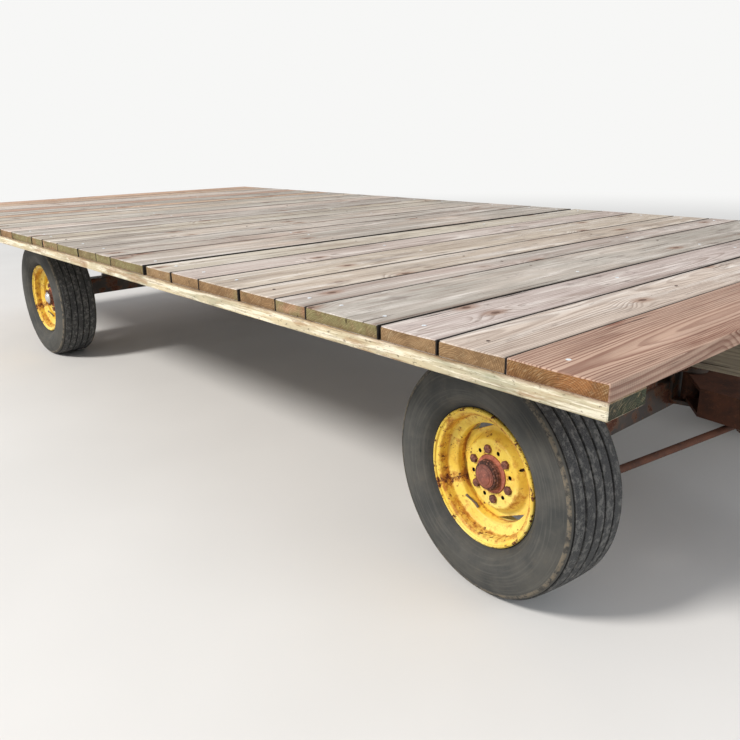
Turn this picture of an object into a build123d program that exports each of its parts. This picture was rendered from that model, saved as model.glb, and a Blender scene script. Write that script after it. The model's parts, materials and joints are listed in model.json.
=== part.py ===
from build123d import *
from math import asin, atan, cos, degrees, radians, sin, sqrt
import os

# Flat-deck hay wagon: a plank deck on two wooden sills, carried by a steerable running gear.
# Frame: +X towards the tongue, +Y to the wagon's left, +Z up, millimetres.
# The origin is on the ground under the middle of the overall box.

os.makedirs("parts", exist_ok=True)

# Deck
DECK_TOP = 878.0
DECK_WIDTH = 2743.0
PLANK_THICKNESS = 38.0
PLANK_EDGE = 2.0
RAIL_WIDTH = 140.0
RAIL_HEIGHT = 38.0
SILL_WIDTH = 89.0
SILL_HEIGHT = 184.0
SILL_SPREAD = 860.0

# Planks from the front edge back: width, gap ahead of the plank, stock
PLANKS = [
    (235, 0, "fresh"), (184, 4, "weathered"), (184, 7, "weathered"), (286, 8, "weathered"),
    (140, 4, "weathered"), (184, 7, "weathered"), (235, 6, "weathered"), (184, 6, "weathered"),
    (184, 5, "weathered"), (286, 29, "weathered"), (140, 3, "weathered"), (184, 5, "weathered"),
    (235, 5, "weathered"), (184, 6, "weathered"), (140, 6, "weathered"), (286, 5, "weathered"),
    (184, 6, "weathered"), (235, 6, "weathered"), (184, 5, "weathered"), (184, 6, "weathered"),
    (140, 5, "fresh"), (235, 6, "weathered"), (184, 6, "fresh"), (286, 5, "weathered"),
    (184, 6, "fresh"), (235, 7, "fresh"),
]

# Wheels and tyres
TYRE_RADIUS = 362.0
TYRE_SECTION = 236.0
TREAD_WIDTH = 178.0
CROWN_DROP = 6.0
SHOULDER_WIDTH = 202.0
SHOULDER_RADIUS = 345.0
SIDEWALL_RADIUS = 268.0
BEAD_STEP = 1.0
FLANGE_RADIUS = 209.5
BEAD_RADIUS = 190.0
FLANGE_SPACING = 152.0
FLANGE_LIP = 13.0
LIP_ROUND = 4.0
LIP_THICKNESS = 5.0
RIM_WALL = 5.0
BEAD_SEAT = 30.0
WELL_RADIUS = 152.0
WELL_SLOPE = 14.0
WELL_BACK = 8.0
DISC_FACE = 38.0
DISC_THICKNESS = 8.0
DISC_FLAT_RADIUS = 106.0
DISC_DISH = 33.0
DISC_SLOPE = 18.0
DISC_CHORD = 136.0
DISC_FLATS = 4
DISC_CLOCKING = 27.0
SLOPE_HOLES = 3
SLOPE_HOLE_RADIUS = 4.5
SLOPE_HOLE_CIRCLE = 115.0
SLOPE_HOLE_CLOCKING = 54.0
LUG_CIRCLE = 76.2
LUG_COUNT = 6
LUG_CLOCKING = 11.0
LUG_HEX = 24.0
LUG_HEAD = 10.0
BOLT_RADIUS = 7.0
BOLT_PLAY = 0.4
VENT_HOLE_RADIUS = 6.0
HUB_RADIUS = 59.0
HUB_PLAY = 1.0
HUB_BARREL_RADIUS = 52.0
HUB_RING = 4.0
HUB_STEP = 4.0
HUB_RISE = 25.0
HUB_FLANGE_RADIUS = 96.0
HUB_FLANGE = 12.0
HUB_NOSE_RADIUS = 45.0
HUB_BACK = 75.0
CAP_RADIUS = 33.0
CAP_BRIM = 3.0
CAP_BRIM_HEIGHT = 3.0
CAP_SIDE = 3.0
CAP_DOME = 10.0

# Running gear
WHEELBASE = 3610.0
FRONT_OVERHANG = 553.0
TRACK = 1857.0
KINGPIN_TO_WHEEL = 197.0
AXLE_TUBE = 100.0
AXLE_WALL = 8.0
AXLE_HEIGHT = 400.0
TUBE_CORNER = 6.0
AXLE_RIB_LENGTH = 110.0
AXLE_RIB_DROP = 36.0
AXLE_RIB_THICKNESS = 12.0
SLEEVE_RADIUS = 38.0
SLEEVE_LENGTH = 140.0
KINGPIN_RADIUS = 18.0
PIN_PLAY = 0.3
PIN_FLANGE = 8.0
PIN_HEAD = 11.0
PIN_TAIL = 10.0
LUG_PLATE = 22.0
YOKE_GAP = 5.0
YOKE_PLATE = 18.0
YOKE_HALF_WIDTH = 38.0
SPINDLE_RADIUS = 22.0
SPINDLE_SHOULDER = 30.0
SPINDLE_BOSS = 36.0
SPINDLE_BOSS_LENGTH = 20.0
SPINDLE_NOSE = 55.0
SHOULDER_PLAY = 1.0
REACH_HEIGHT = 500.0
REACH_FRONT_TUBE = 64.0
REACH_REAR_TUBE = 76.0
REACH_WALL = 5.0
REACH_FRONT_LENGTH = 2000.0
REACH_OVERLAP = 350.0
REACH_TAIL = 140.0
REACH_CORNER = 4.0
REACH_HOLES = 6
REACH_HOLE_STEP = 152.0
REACH_PIN_BACK = 60.0
REACH_PIN_RADIUS = 9.0
BOLSTER_WIDTH = 100.0
BOLSTER_HEIGHT = 76.0
BOLSTER_WALL = 8.0
POST_WIDTH = 60.0
POST_FOOT = 170.0
POST_HOLE_RADIUS = 22.0
POST_SPREAD = 440.0
STAKE_THICKNESS = 12.0
STAKE_WIDTH = 76.0
STAKE_RISE = 140.0
STAKE_PLAY = 0.5
HOUND_HEIGHT = 40.0
HOUND_WIDTH = 50.0
HOUND_CORNER = 5.0
REAR_HOUND_SPREAD = 1120.0
REAR_HOUND_REACH = 1150.0
FRONT_HOUND_SPREAD = 760.0
FRONT_HOUND_REACH = 700.0

# Steering head, tie rods and knuckle arms
STEER_AHEAD = 108.0
PARKED_STEER = -7.0
HEAD_HALF_WIDTH = 156.0
HEAD_BOTTOM = 391.0
HEAD_TOP = 491.0
HEAD_PLATE = 12.0
HEAD_WALL_AHEAD = 118.0
HEAD_FLOOR_AHEAD = 262.0
EAR_THICKNESS = 15.0
EAR_GAP = 5.0
EAR_RADIUS = 45.0
EAR_FLARE = 15.0
STEER_PIN_RADIUS = 16.0
STEER_SLEEVE_RADIUS = 38.0
ARM_LENGTH = 208.0
ARM_OFFSET = 25.0
ARM_PLATE = 22.0
ARM_EYE_RADIUS = 24.0
ARM_ROOT = 13.0
ARM_TIP = 20.0
ARM_GAP = 4.0
TIE_ROD_HEIGHT = 366.0
TIE_ROD_RADIUS = 12.0
EYE_RADIUS = 22.0
EYE_HEIGHT = 24.0
STUD_RADIUS = 9.7
STUD_NUT = 15.0
STUD_GAP = 3.0

# Tongue, in its own frame: x ahead of the hinge pin, z above it
HINGE_AHEAD = 310.0
HINGE_HEIGHT = 441.0
BOSS_RADIUS = 38.0
BOSS_SIDE_PLAY = 6.0
HINGE_PIN_RADIUS = 12.5
TONGUE_TUBE = 64.0
TONGUE_WALL = 5.0
TUBE_START = 470.0
TUBE_END = 1740.0
YOKE_BAR_WIDTH = 40.0
YOKE_BAR_HEIGHT = 50.0
YOKE_BAR_END = 640.0
YOKE_WEB = 12.0
YOKE_WEB_OVERHANG = 10.0
STRAP_THICKNESS = 12.0
STRAP_START = 1600.0
HITCH_BORE_AHEAD = 1850.0
HITCH_BORE_RADIUS = 16.0

# Worked-out places
deck_length = sum(width + gap for width, gap, stock in PLANKS)
plank_bottom = DECK_TOP - PLANK_THICKNESS
sill_bottom = plank_bottom - SILL_HEIGHT
bolster_bottom = sill_bottom - BOLSTER_HEIGHT
axle_top = AXLE_HEIGHT + AXLE_TUBE / 2
hub_height = TYRE_RADIUS
kingpin_y = TRACK / 2 - KINGPIN_TO_WHEEL
nose_radius = TONGUE_TUBE / 2
nose_half_height = TONGUE_TUBE / 2 + STRAP_THICKNESS
tongue_reach = HITCH_BORE_AHEAD + nose_radius


def parked_tongue_drop():
    """Angle below level at which the tongue's nose lies on the ground."""
    length = sqrt(tongue_reach**2 + nose_half_height**2)
    return degrees(asin(HINGE_HEIGHT / length) - atan(nose_half_height / tongue_reach))


TONGUE_DROP = parked_tongue_drop()


def nose_ahead_of_pivot():
    """How far the tongue's nose reaches along X from the steering pivot when parked."""
    drop, swing = radians(TONGUE_DROP), radians(PARKED_STEER)
    middle = (HINGE_AHEAD + HITCH_BORE_AHEAD * cos(drop) + nose_half_height * sin(drop)) * cos(swing)
    return middle + nose_radius * sqrt((cos(drop) * cos(swing)) ** 2 + sin(swing) ** 2)


# The front axle's place puts the middle of the overall box on the origin.
ahead = STEER_AHEAD + nose_ahead_of_pivot()
behind = deck_length - FRONT_OVERHANG
front_axle_x = (behind - ahead) / 2
rear_axle_x = front_axle_x - WHEELBASE
deck_front = front_axle_x + FRONT_OVERHANG
deck_rear = deck_front - deck_length
steer_pivot = (front_axle_x + STEER_AHEAD, 0.0)


SEATED = (Align.CENTER, Align.CENTER, Align.MIN)


def block(x0, x1, y0, y1, z0, z1):
    corner = (Align.MIN, Align.MIN, Align.MIN)
    return Pos(x0, y0, z0) * Box(x1 - x0, y1 - y0, z1 - z0, align=corner)


def post(x, y, z0, z1, radius):
    return Pos(x, y, z0) * Cylinder(radius, z1 - z0, align=SEATED)


def slab(points, z0, z1):
    """A plate with the outline given in plan, from z0 to z1."""
    return Pos(0, 0, z0) * extrude(make_face(Polyline(*points, close=True)), z1 - z0)


def square_tube(length, size, wall, corner=TUBE_CORNER):
    """A square tube along X, from 0 to length, centred on the X axis."""
    section = RectangleRounded(size, size, corner) - Rectangle(size - 2 * wall, size - 2 * wall)
    return extrude(Plane.YZ * section, length)


def turned(shape, pivot):
    """shape swung by the parked steering angle about a vertical line through pivot."""
    return Pos(pivot[0], pivot[1], 0) * Rot(0, 0, PARKED_STEER) * Pos(-pivot[0], -pivot[1], 0) * shape


def plank_solids(stock):
    made = []
    front = deck_front
    for width, gap, kind in PLANKS:
        front -= gap
        if kind == stock:
            plank = block(front - width, front, -DECK_WIDTH / 2, DECK_WIDTH / 2, plank_bottom, DECK_TOP)
            long_edges = plank.edges().filter_by(Axis.Y).group_by(Axis.Z)[-1]
            made.append(chamfer(long_edges, PLANK_EDGE))
        front -= width
    return Compound(children=made)


def edge_rail(side):
    outer = side * DECK_WIDTH / 2
    inner = outer - side * RAIL_WIDTH
    low, high = sorted((outer, inner))
    return block(deck_rear, deck_front, low, high, plank_bottom - RAIL_HEIGHT, plank_bottom)


def sill(side):
    middle = side * SILL_SPREAD / 2
    low, high = middle - SILL_WIDTH / 2, middle + SILL_WIDTH / 2
    return block(deck_rear, deck_front, low, high, sill_bottom, plank_bottom)


def bolster(axle_x):
    """A formed channel across the wagon, open below, between the stakes."""
    half = SILL_SPREAD / 2 + SILL_WIDTH / 2 + STAKE_PLAY
    outer = Rectangle(BOLSTER_WIDTH, BOLSTER_HEIGHT, align=(Align.CENTER, Align.MIN))
    outer = fillet(outer.vertices().group_by(Axis.Y)[-1], TUBE_CORNER)
    inner = Rectangle(
        BOLSTER_WIDTH - 2 * BOLSTER_WALL, BOLSTER_HEIGHT - BOLSTER_WALL, align=(Align.CENTER, Align.MIN)
    )
    return Pos(axle_x, half, bolster_bottom) * extrude(Plane.XZ * (outer - inner), 2 * half)


def bolster_posts(axle_x):
    """Two flared posts from the axle up inside the bolster's channel."""
    depth = BOLSTER_WIDTH - 2 * BOLSTER_WALL
    height = sill_bottom - BOLSTER_WALL - axle_top
    foot, top = POST_FOOT / 2, POST_WIDTH / 2
    flank = make_face(Polyline((-foot, 0), (foot, 0), (top, height), (-top, height), close=True))
    flank -= Pos(0, height / 3) * Circle(POST_HOLE_RADIUS)
    stem = extrude(Plane.YZ * flank, depth)
    places = [Pos(axle_x - depth / 2, side * POST_SPREAD / 2, axle_top) for side in (-1, 1)]
    return Compound(children=[place * stem for place in places])


def bolster_stakes():
    inner = SILL_SPREAD / 2 + SILL_WIDTH / 2 + STAKE_PLAY
    made = []
    for axle_x in (front_axle_x, rear_axle_x):
        for side in (-1, 1):
            low, high = sorted((side * inner, side * (inner + STAKE_THICKNESS)))
            stake = block(
                axle_x - STAKE_WIDTH / 2, axle_x + STAKE_WIDTH / 2, low, high, bolster_bottom, sill_bottom + STAKE_RISE
            )
            made.append(chamfer(stake.edges().filter_by(Axis.Y).group_by(Axis.Z)[-1], STAKE_WIDTH / 4))
    return Compound(children=made)


def hound(side, axle_x, direction, spread, reach, tube, seat):
    """A brace from the top of an axle to the side of the reach pole."""
    outer, inner = side * spread / 2, side * tube / 2
    half = HOUND_WIDTH / 2
    back = axle_x - direction * AXLE_TUBE / 2
    points = [
        (back, outer - side * half),
        (back, outer + side * half),
        (axle_x + direction * (reach + HOUND_WIDTH), inner),
        (axle_x + direction * (reach - HOUND_WIDTH), inner),
    ]
    brace = slab(points, seat, seat + HOUND_HEIGHT)
    long_edges = brace.edges().filter_by(lambda edge: edge.length > reach)
    return fillet(long_edges, HOUND_CORNER)


def front_hound(side):
    return hound(side, front_axle_x, -1, FRONT_HOUND_SPREAD, FRONT_HOUND_REACH, REACH_FRONT_TUBE, front_seat)


def rear_hound(side):
    return hound(side, rear_axle_x, 1, REAR_HOUND_SPREAD, REAR_HOUND_REACH, REACH_REAR_TUBE, rear_seat)


def axle_pads(axle_x, spread, seat, tube):
    """Seats on top of an axle tube for the reach pole and the two hounds."""
    half = AXLE_TUBE / 2
    pads = [block(axle_x - half, axle_x + half, -tube / 2, tube / 2, axle_top, seat)]
    for side in (-1, 1):
        y = side * spread / 2
        pads.append(block(axle_x - half, axle_x + half, y - HOUND_WIDTH, y + HOUND_WIDTH, axle_top, seat))
    return pads


reach_joint = front_axle_x + AXLE_TUBE / 2 - REACH_FRONT_LENGTH + REACH_OVERLAP
front_seat = REACH_HEIGHT - REACH_FRONT_TUBE / 2
rear_seat = REACH_HEIGHT - REACH_REAR_TUBE / 2
sleeve_bottom = AXLE_HEIGHT - SLEEVE_LENGTH / 2
sleeve_top = AXLE_HEIGHT + SLEEVE_LENGTH / 2


def front_axle():
    tube = square_tube(2 * kingpin_y, AXLE_TUBE, AXLE_WALL)
    tube = Pos(front_axle_x, -kingpin_y, AXLE_HEIGHT) * Rot(0, 0, 90) * tube
    beam = tube.fuse(*axle_pads(front_axle_x, FRONT_HOUND_SPREAD, front_seat, REACH_FRONT_TUBE))
    for side in (-1, 1):
        y = side * kingpin_y
        beam += post(front_axle_x, y, sleeve_bottom, sleeve_top, SLEEVE_RADIUS)
        low, high = sorted((y, y + side * AXLE_TUBE))
        beyond = block(front_axle_x - AXLE_TUBE, front_axle_x + AXLE_TUBE, low, high, 0, DECK_TOP)
        beam -= beyond - post(front_axle_x, y, 0, DECK_TOP, SLEEVE_RADIUS)
        beam -= post(front_axle_x, y, sleeve_bottom, sleeve_top, KINGPIN_RADIUS + PIN_PLAY)
    return beam


def steering_mount():
    """Two ears on the front of the axle that hold the steering pin."""
    x, y = steer_pivot
    face = front_axle_x + AXLE_TUBE / 2
    low = HEAD_BOTTOM - EAR_GAP - EAR_THICKNESS
    high = HEAD_TOP + EAR_GAP + EAR_THICKNESS
    root = EAR_RADIUS + EAR_FLARE
    mount = block(face, face + HEAD_PLATE, -root, root, low, high)
    for z in (low, high - EAR_THICKNESS):
        mount += slab([(face, -root), (x, -EAR_RADIUS), (x, EAR_RADIUS), (face, root)], z, z + EAR_THICKNESS)
        mount += post(x, y, z, z + EAR_THICKNESS, EAR_RADIUS)
    return mount - post(x, y, low, high, STEER_PIN_RADIUS + PIN_PLAY)


def headed_pin(x, y, low, high, radius):
    """An upright pin that reaches below low, with a flat head seated on high."""
    head = post(x, y, high, high + PIN_HEAD, radius + PIN_FLANGE)
    return post(x, y, low - PIN_TAIL, high, radius) + head


def steering_pin():
    low = HEAD_BOTTOM - EAR_GAP - EAR_THICKNESS
    high = HEAD_TOP + EAR_GAP + EAR_THICKNESS
    return headed_pin(*steer_pivot, low, high, STEER_PIN_RADIUS)


def head_outline(x, ahead_end):
    half = HEAD_HALF_WIDTH
    neck = STEER_SLEEVE_RADIUS
    wall = x + HEAD_WALL_AHEAD
    return [(x, -neck), (wall, -half), (ahead_end, -half), (ahead_end, half), (wall, half), (x, neck)]


def steering_head():
    x, y = steer_pivot
    head = post(x, y, HEAD_BOTTOM, HEAD_TOP, STEER_SLEEVE_RADIUS)
    head += slab(head_outline(x, x + HEAD_FLOOR_AHEAD), HEAD_BOTTOM, HEAD_BOTTOM + HEAD_PLATE)
    head += slab(head_outline(x, x + HEAD_FLOOR_AHEAD), HEAD_TOP - HEAD_PLATE, HEAD_TOP)
    wall = x + HEAD_WALL_AHEAD
    head += block(wall, wall + HEAD_PLATE, -HEAD_HALF_WIDTH, HEAD_HALF_WIDTH, HEAD_BOTTOM, HEAD_TOP)
    for side in (-1, 1):
        low, high = sorted((side * HEAD_HALF_WIDTH, side * (HEAD_HALF_WIDTH - HEAD_PLATE)))
        head += block(wall, x + HINGE_AHEAD, low, high, HEAD_BOTTOM, HEAD_TOP)
        head += lying(x + HINGE_AHEAD, low, high, (HEAD_TOP - HEAD_BOTTOM) / 2, HINGE_HEIGHT)
        pin_x, pin_y = x + ARM_LENGTH, side * ARM_OFFSET
        stud_bottom = TIE_ROD_HEIGHT - EYE_HEIGHT / 2 - STUD_GAP
        head += post(pin_x, pin_y, stud_bottom, HEAD_BOTTOM, STUD_RADIUS)
        head += post(pin_x, pin_y, stud_bottom - STUD_NUT, stud_bottom, STUD_NUT)
    head -= post(x, y, HEAD_BOTTOM, HEAD_TOP, STEER_PIN_RADIUS + PIN_PLAY)
    half = 2 * HEAD_HALF_WIDTH
    head -= lying(x + HINGE_AHEAD, -half, half, HINGE_PIN_RADIUS + PIN_PLAY, HINGE_HEIGHT)
    return turned(head, steer_pivot)


def hinge_pin():
    """The headed pin that lies across the steering head, its head on the left cheek."""
    pin = headed_pin(0, 0, -HEAD_HALF_WIDTH, HEAD_HALF_WIDTH, HINGE_PIN_RADIUS)
    placed = Pos(steer_pivot[0] + HINGE_AHEAD, 0, HINGE_HEIGHT) * Rot(-90, 0, 0) * pin
    return turned(placed, steer_pivot)


def tie_rod(side):
    """A rod from the steering head's pin to the knuckle arm's stud, with an eye at each end."""
    inner = (steer_pivot[0] + ARM_LENGTH, side * ARM_OFFSET)
    outer = (front_axle_x + ARM_LENGTH, side * (kingpin_y + ARM_OFFSET))
    swing = Rot(0, 0, PARKED_STEER)
    inner_at = turned_point(inner, steer_pivot)
    outer_at = turned_point(outer, (front_axle_x, side * kingpin_y))
    low, high = TIE_ROD_HEIGHT - EYE_HEIGHT / 2, TIE_ROD_HEIGHT + EYE_HEIGHT / 2
    start = Vector(inner_at[0], inner_at[1], TIE_ROD_HEIGHT)
    end = Vector(outer_at[0], outer_at[1], TIE_ROD_HEIGHT)
    line = Line(start, end)
    rod = sweep(Plane(origin=start, z_dir=end - start) * Circle(TIE_ROD_RADIUS), path=line)
    for x, y in (inner_at, outer_at):
        rod += post(x, y, low, high, EYE_RADIUS)
    for x, y in (inner_at, outer_at):
        rod -= post(x, y, low, high, STUD_RADIUS + PIN_PLAY)
    return rod


def turned_point(point, pivot):
    spot = Vector(point[0] - pivot[0], point[1] - pivot[1]).rotate(Axis.Z, PARKED_STEER)
    return (pivot[0] + spot.X, pivot[1] + spot.Y)


def knuckle(side):
    """Yoke round the axle sleeve with the spindle, the forward arm and its stud."""
    x, y = front_axle_x, side * kingpin_y
    play = SLEEVE_RADIUS + YOKE_GAP
    near, far = y + side * play, y + side * (play + YOKE_PLATE)
    low, high = sorted((near, far))
    bottom = sleeve_bottom - YOKE_GAP - LUG_PLATE
    top = sleeve_top + YOKE_GAP + LUG_PLATE
    yoke = block(x - YOKE_HALF_WIDTH, x + YOKE_HALF_WIDTH, low, high, bottom, top)
    for z in (bottom, top - LUG_PLATE):
        inner, outer = sorted((y, far))
        yoke += block(x - YOKE_HALF_WIDTH, x + YOKE_HALF_WIDTH, inner, outer, z, z + LUG_PLATE)
        yoke += post(x, y, z, z + LUG_PLATE, YOKE_HALF_WIDTH)
    arm_top = TIE_ROD_HEIGHT - EYE_HEIGHT / 2 - ARM_GAP
    middle = (near + far) / 2
    end_x, end_y = x + ARM_LENGTH, y + side * ARM_OFFSET
    arm_outline = [
        (x, middle - ARM_ROOT),
        (x, middle + ARM_ROOT),
        (end_x, end_y + ARM_TIP),
        (end_x, end_y - ARM_TIP),
    ]
    arm = slab(arm_outline, arm_top - ARM_PLATE, arm_top)
    arm -= post(x, y, 0, DECK_TOP, play)
    yoke += arm
    yoke += post(end_x, end_y, arm_top - ARM_PLATE, arm_top, ARM_EYE_RADIUS)
    stud_top = TIE_ROD_HEIGHT + EYE_HEIGHT / 2 + STUD_GAP
    yoke += post(end_x, end_y, arm_top, stud_top, STUD_RADIUS)
    yoke += post(end_x, end_y, stud_top, stud_top + STUD_NUT, STUD_NUT)
    yoke -= post(x, y, bottom, top, KINGPIN_RADIUS + PIN_PLAY)
    yoke += spindle(x, side, far)
    return turned(yoke, (x, y))


def kingpin(side):
    x, y = front_axle_x, side * kingpin_y
    bottom = sleeve_bottom - YOKE_GAP - LUG_PLATE
    top = sleeve_top + YOKE_GAP + LUG_PLATE
    return headed_pin(x, y, bottom, top + PIN_PLAY, KINGPIN_RADIUS)


def wheel_y(side):
    return side * TRACK / 2


def spindle(x, side, root_y):
    """Stub shaft from root_y out through the hub, with a tapered boss at its root."""
    hub_in = wheel_y(side) - side * HUB_BACK
    shoulder_end = hub_in - side * SHOULDER_PLAY
    nose = wheel_y(side) + side * SPINDLE_NOSE
    boss = Cone(SPINDLE_BOSS, SPINDLE_SHOULDER, SPINDLE_BOSS_LENGTH, align=SEATED)
    made = Pos(x, root_y, hub_height) * Rot(-90 * side, 0, 0) * boss
    made += lying(x, root_y, shoulder_end, SPINDLE_SHOULDER, hub_height)
    return made + lying(x, shoulder_end, nose, SPINDLE_RADIUS, hub_height)


def lying(x, y0, y1, radius, height):
    """A round bar along Y."""
    low, high = sorted((y0, y1))
    return Pos(x, (low + high) / 2, height) * Rot(90, 0, 0) * Cylinder(radius, high - low)


def rear_axle():
    """A tube with an end plate down to each spindle and a rib in the corner."""
    half = kingpin_y + SLEEVE_RADIUS + YOKE_GAP
    tube = Pos(rear_axle_x, -half, AXLE_HEIGHT) * Rot(0, 0, 90) * square_tube(2 * half, AXLE_TUBE, AXLE_WALL)
    beam = tube.fuse(*axle_pads(rear_axle_x, REAR_HOUND_SPREAD, rear_seat, REACH_REAR_TUBE))
    for side in (-1, 1):
        low, high = sorted((side * half, side * (half + YOKE_PLATE)))
        bottom = hub_height - AXLE_TUBE / 2
        beam += block(rear_axle_x - AXLE_TUBE / 2, rear_axle_x + AXLE_TUBE / 2, low, high, bottom, axle_top)
        corner, under = side * half, AXLE_HEIGHT - AXLE_TUBE / 2
        rib = Polyline(
            (corner, under), (corner - side * AXLE_RIB_LENGTH, under), (corner, under - AXLE_RIB_DROP), close=True
        )
        beam += Pos(rear_axle_x, 0, 0) * extrude(Plane.YZ * make_face(rib), AXLE_RIB_THICKNESS / 2, both=True)
        beam += spindle(rear_axle_x, side, side * (half + YOKE_PLATE))
    return beam


def reach_hole(number):
    """The upright bore of one of the front tube's holes, counted forward from the pinned one."""
    x = reach_joint - REACH_PIN_BACK + number * REACH_HOLE_STEP
    low, high = REACH_HEIGHT - REACH_REAR_TUBE / 2, REACH_HEIGHT + REACH_REAR_TUBE / 2
    return post(x, 0, low, high, REACH_PIN_RADIUS + PIN_PLAY)


def reach_front():
    """The inner tube, with holes for setting the wagon's length."""
    start = front_axle_x + AXLE_TUBE / 2 - REACH_FRONT_LENGTH
    tube = square_tube(REACH_FRONT_LENGTH, REACH_FRONT_TUBE, REACH_WALL, REACH_CORNER)
    return Pos(start, 0, REACH_HEIGHT) * tube - [reach_hole(number) for number in range(REACH_HOLES)]


def reach_rear():
    """The outer tube and the pin that holds the inner one."""
    start = rear_axle_x - REACH_TAIL
    wall = (REACH_REAR_TUBE - REACH_FRONT_TUBE) / 2 - STAKE_PLAY
    tube = Pos(start, 0, REACH_HEIGHT) * square_tube(reach_joint - start, REACH_REAR_TUBE, wall, REACH_CORNER)
    low, high = REACH_HEIGHT - REACH_REAR_TUBE / 2, REACH_HEIGHT + REACH_REAR_TUBE / 2
    pin = headed_pin(reach_joint - REACH_PIN_BACK, 0, low, high, REACH_PIN_RADIUS)
    return Compound(children=[tube - reach_hole(0), pin])


def revolved(points):
    """A solid of revolution about the wheel's axle from (out, radius) points; out is along +Y."""
    outline = Polyline(*[(radius, out) for out, radius in points], close=True)
    return revolve(make_face(outline), Axis.Y)


def tyre_ring():
    half, bead = TYRE_SECTION / 2, FLANGE_SPACING / 2 - PIN_PLAY
    side = [(bead, BEAD_RADIUS + PIN_PLAY), (bead, FLANGE_RADIUS + BEAD_STEP), (half, SIDEWALL_RADIUS)]
    side += [(SHOULDER_WIDTH / 2, SHOULDER_RADIUS), (TREAD_WIDTH / 2, TYRE_RADIUS - CROWN_DROP), (0, TYRE_RADIUS)]
    other = [(-out, radius) for out, radius in reversed(side[:-1])]
    return revolved(side + other)


def rim_side(direction):
    """One half of the drop-centre rim's outside, from the bead seat over the flange to the well."""
    half = FLANGE_SPACING / 2
    lip = half + FLANGE_LIP
    inner = BEAD_RADIUS - RIM_WALL
    seat_end = half - BEAD_SEAT if direction > 0 else WELL_BACK + WELL_SLOPE
    well_end = seat_end - WELL_SLOPE
    points = [(half, BEAD_RADIUS), (half, FLANGE_RADIUS), (lip, FLANGE_RADIUS - LIP_ROUND)]
    points += [(lip, FLANGE_RADIUS - LIP_ROUND - LIP_THICKNESS), (half + LIP_ROUND, inner)]
    points += [(seat_end, inner), (well_end, WELL_RADIUS)]
    return [(direction * out, radius) for out, radius in points]


def rim_and_disc():
    rim = revolved(rim_side(1) + rim_side(-1)[::-1])
    face, back = DISC_FACE, DISC_FACE - DISC_THICKNESS
    hole = HUB_RADIUS + HUB_PLAY
    skirt = DISC_FLAT_RADIUS + DISC_SLOPE
    dish = [(back, hole), (face, hole), (face, DISC_FLAT_RADIUS), (face - DISC_DISH, skirt)]
    dish += [(face - DISC_DISH, WELL_RADIUS), (back - DISC_DISH, WELL_RADIUS)]
    dish += [(back - DISC_DISH, skirt - DISC_THICKNESS / 2), (back, DISC_FLAT_RADIUS - DISC_THICKNESS / 2)]
    disc = revolved(dish)
    for turn in range(DISC_FLATS):
        beyond = Pos(DISC_CHORD + WELL_RADIUS / 2, 0, 0) * Box(WELL_RADIUS, WELL_RADIUS, 2 * WELL_RADIUS)
        disc -= Rot(0, DISC_CLOCKING + 360 / DISC_FLATS * turn, 0) * beyond
    for turn in range(LUG_COUNT):
        disc -= lug_place(turn) * Cylinder(BOLT_RADIUS + BOLT_PLAY, 2 * DISC_THICKNESS)
        disc -= lug_place(turn + 0.5) * Cylinder(VENT_HOLE_RADIUS, 2 * DISC_THICKNESS)
    for turn in range(SLOPE_HOLES):
        drill = Pos(0, DISC_FACE, SLOPE_HOLE_CIRCLE) * Rot(-90, 0, 0) * Cylinder(SLOPE_HOLE_RADIUS, 2 * DISC_DISH)
        disc -= Rot(0, SLOPE_HOLE_CLOCKING + 360 / SLOPE_HOLES * turn, 0) * drill
    return rim + disc


def lug_place(turn):
    """The centre of a lug bolt's hole on the disc's outer face, with +Z outwards."""
    swing = Rot(0, LUG_CLOCKING + 360 / LUG_COUNT * turn, 0)
    return swing * Pos(0, DISC_FACE, LUG_CIRCLE) * Rot(-90, 0, 0)


def hub_body():
    back = DISC_FACE - DISC_THICKNESS - PIN_PLAY
    ring, nose = DISC_FACE + HUB_RING, DISC_FACE + HUB_RISE
    bore = SPINDLE_RADIUS + PIN_PLAY
    points = [(-HUB_BACK, bore), (-HUB_BACK, HUB_BARREL_RADIUS), (back - HUB_FLANGE, HUB_BARREL_RADIUS)]
    points += [(back - HUB_FLANGE, HUB_FLANGE_RADIUS), (back, HUB_FLANGE_RADIUS), (back, HUB_RADIUS)]
    points += [(ring, HUB_RADIUS), (ring + HUB_STEP, HUB_NOSE_RADIUS), (nose, HUB_NOSE_RADIUS), (nose, bore)]
    hub = revolved(points)
    depth = DISC_THICKNESS + HUB_FLANGE / 2
    for turn in range(LUG_COUNT):
        head = Pos(0, 0, PIN_PLAY) * extrude(RegularPolygon(LUG_HEX / 2, 6, major_radius=False), LUG_HEAD)
        shank = Pos(0, 0, -depth) * Cylinder(BOLT_RADIUS, depth + LUG_HEAD, align=SEATED)
        hub += lug_place(turn) * (head + shank)
    return hub


def grease_cap():
    """A pressed cap on the hub's nose: a brim, a short side and a dome."""
    seat = DISC_FACE + HUB_RISE
    brim, shoulder = seat + CAP_BRIM_HEIGHT, seat + CAP_BRIM_HEIGHT + CAP_SIDE
    wide = CAP_RADIUS + CAP_BRIM
    sides = Polyline((0, seat), (wide, seat), (wide, brim), (CAP_RADIUS, brim), (CAP_RADIUS, shoulder))
    top = shoulder + CAP_DOME
    ball = (CAP_RADIUS**2 + CAP_DOME**2) / (2 * CAP_DOME)
    half_angle = asin(CAP_RADIUS / ball) / 2
    halfway = (ball * sin(half_angle), top - ball + ball * cos(half_angle))
    dome = ThreePointArc((CAP_RADIUS, shoulder), halfway, (0, top))
    return revolve(make_face(sides + dome + Line((0, top), (0, seat))), Axis.Y)


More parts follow.
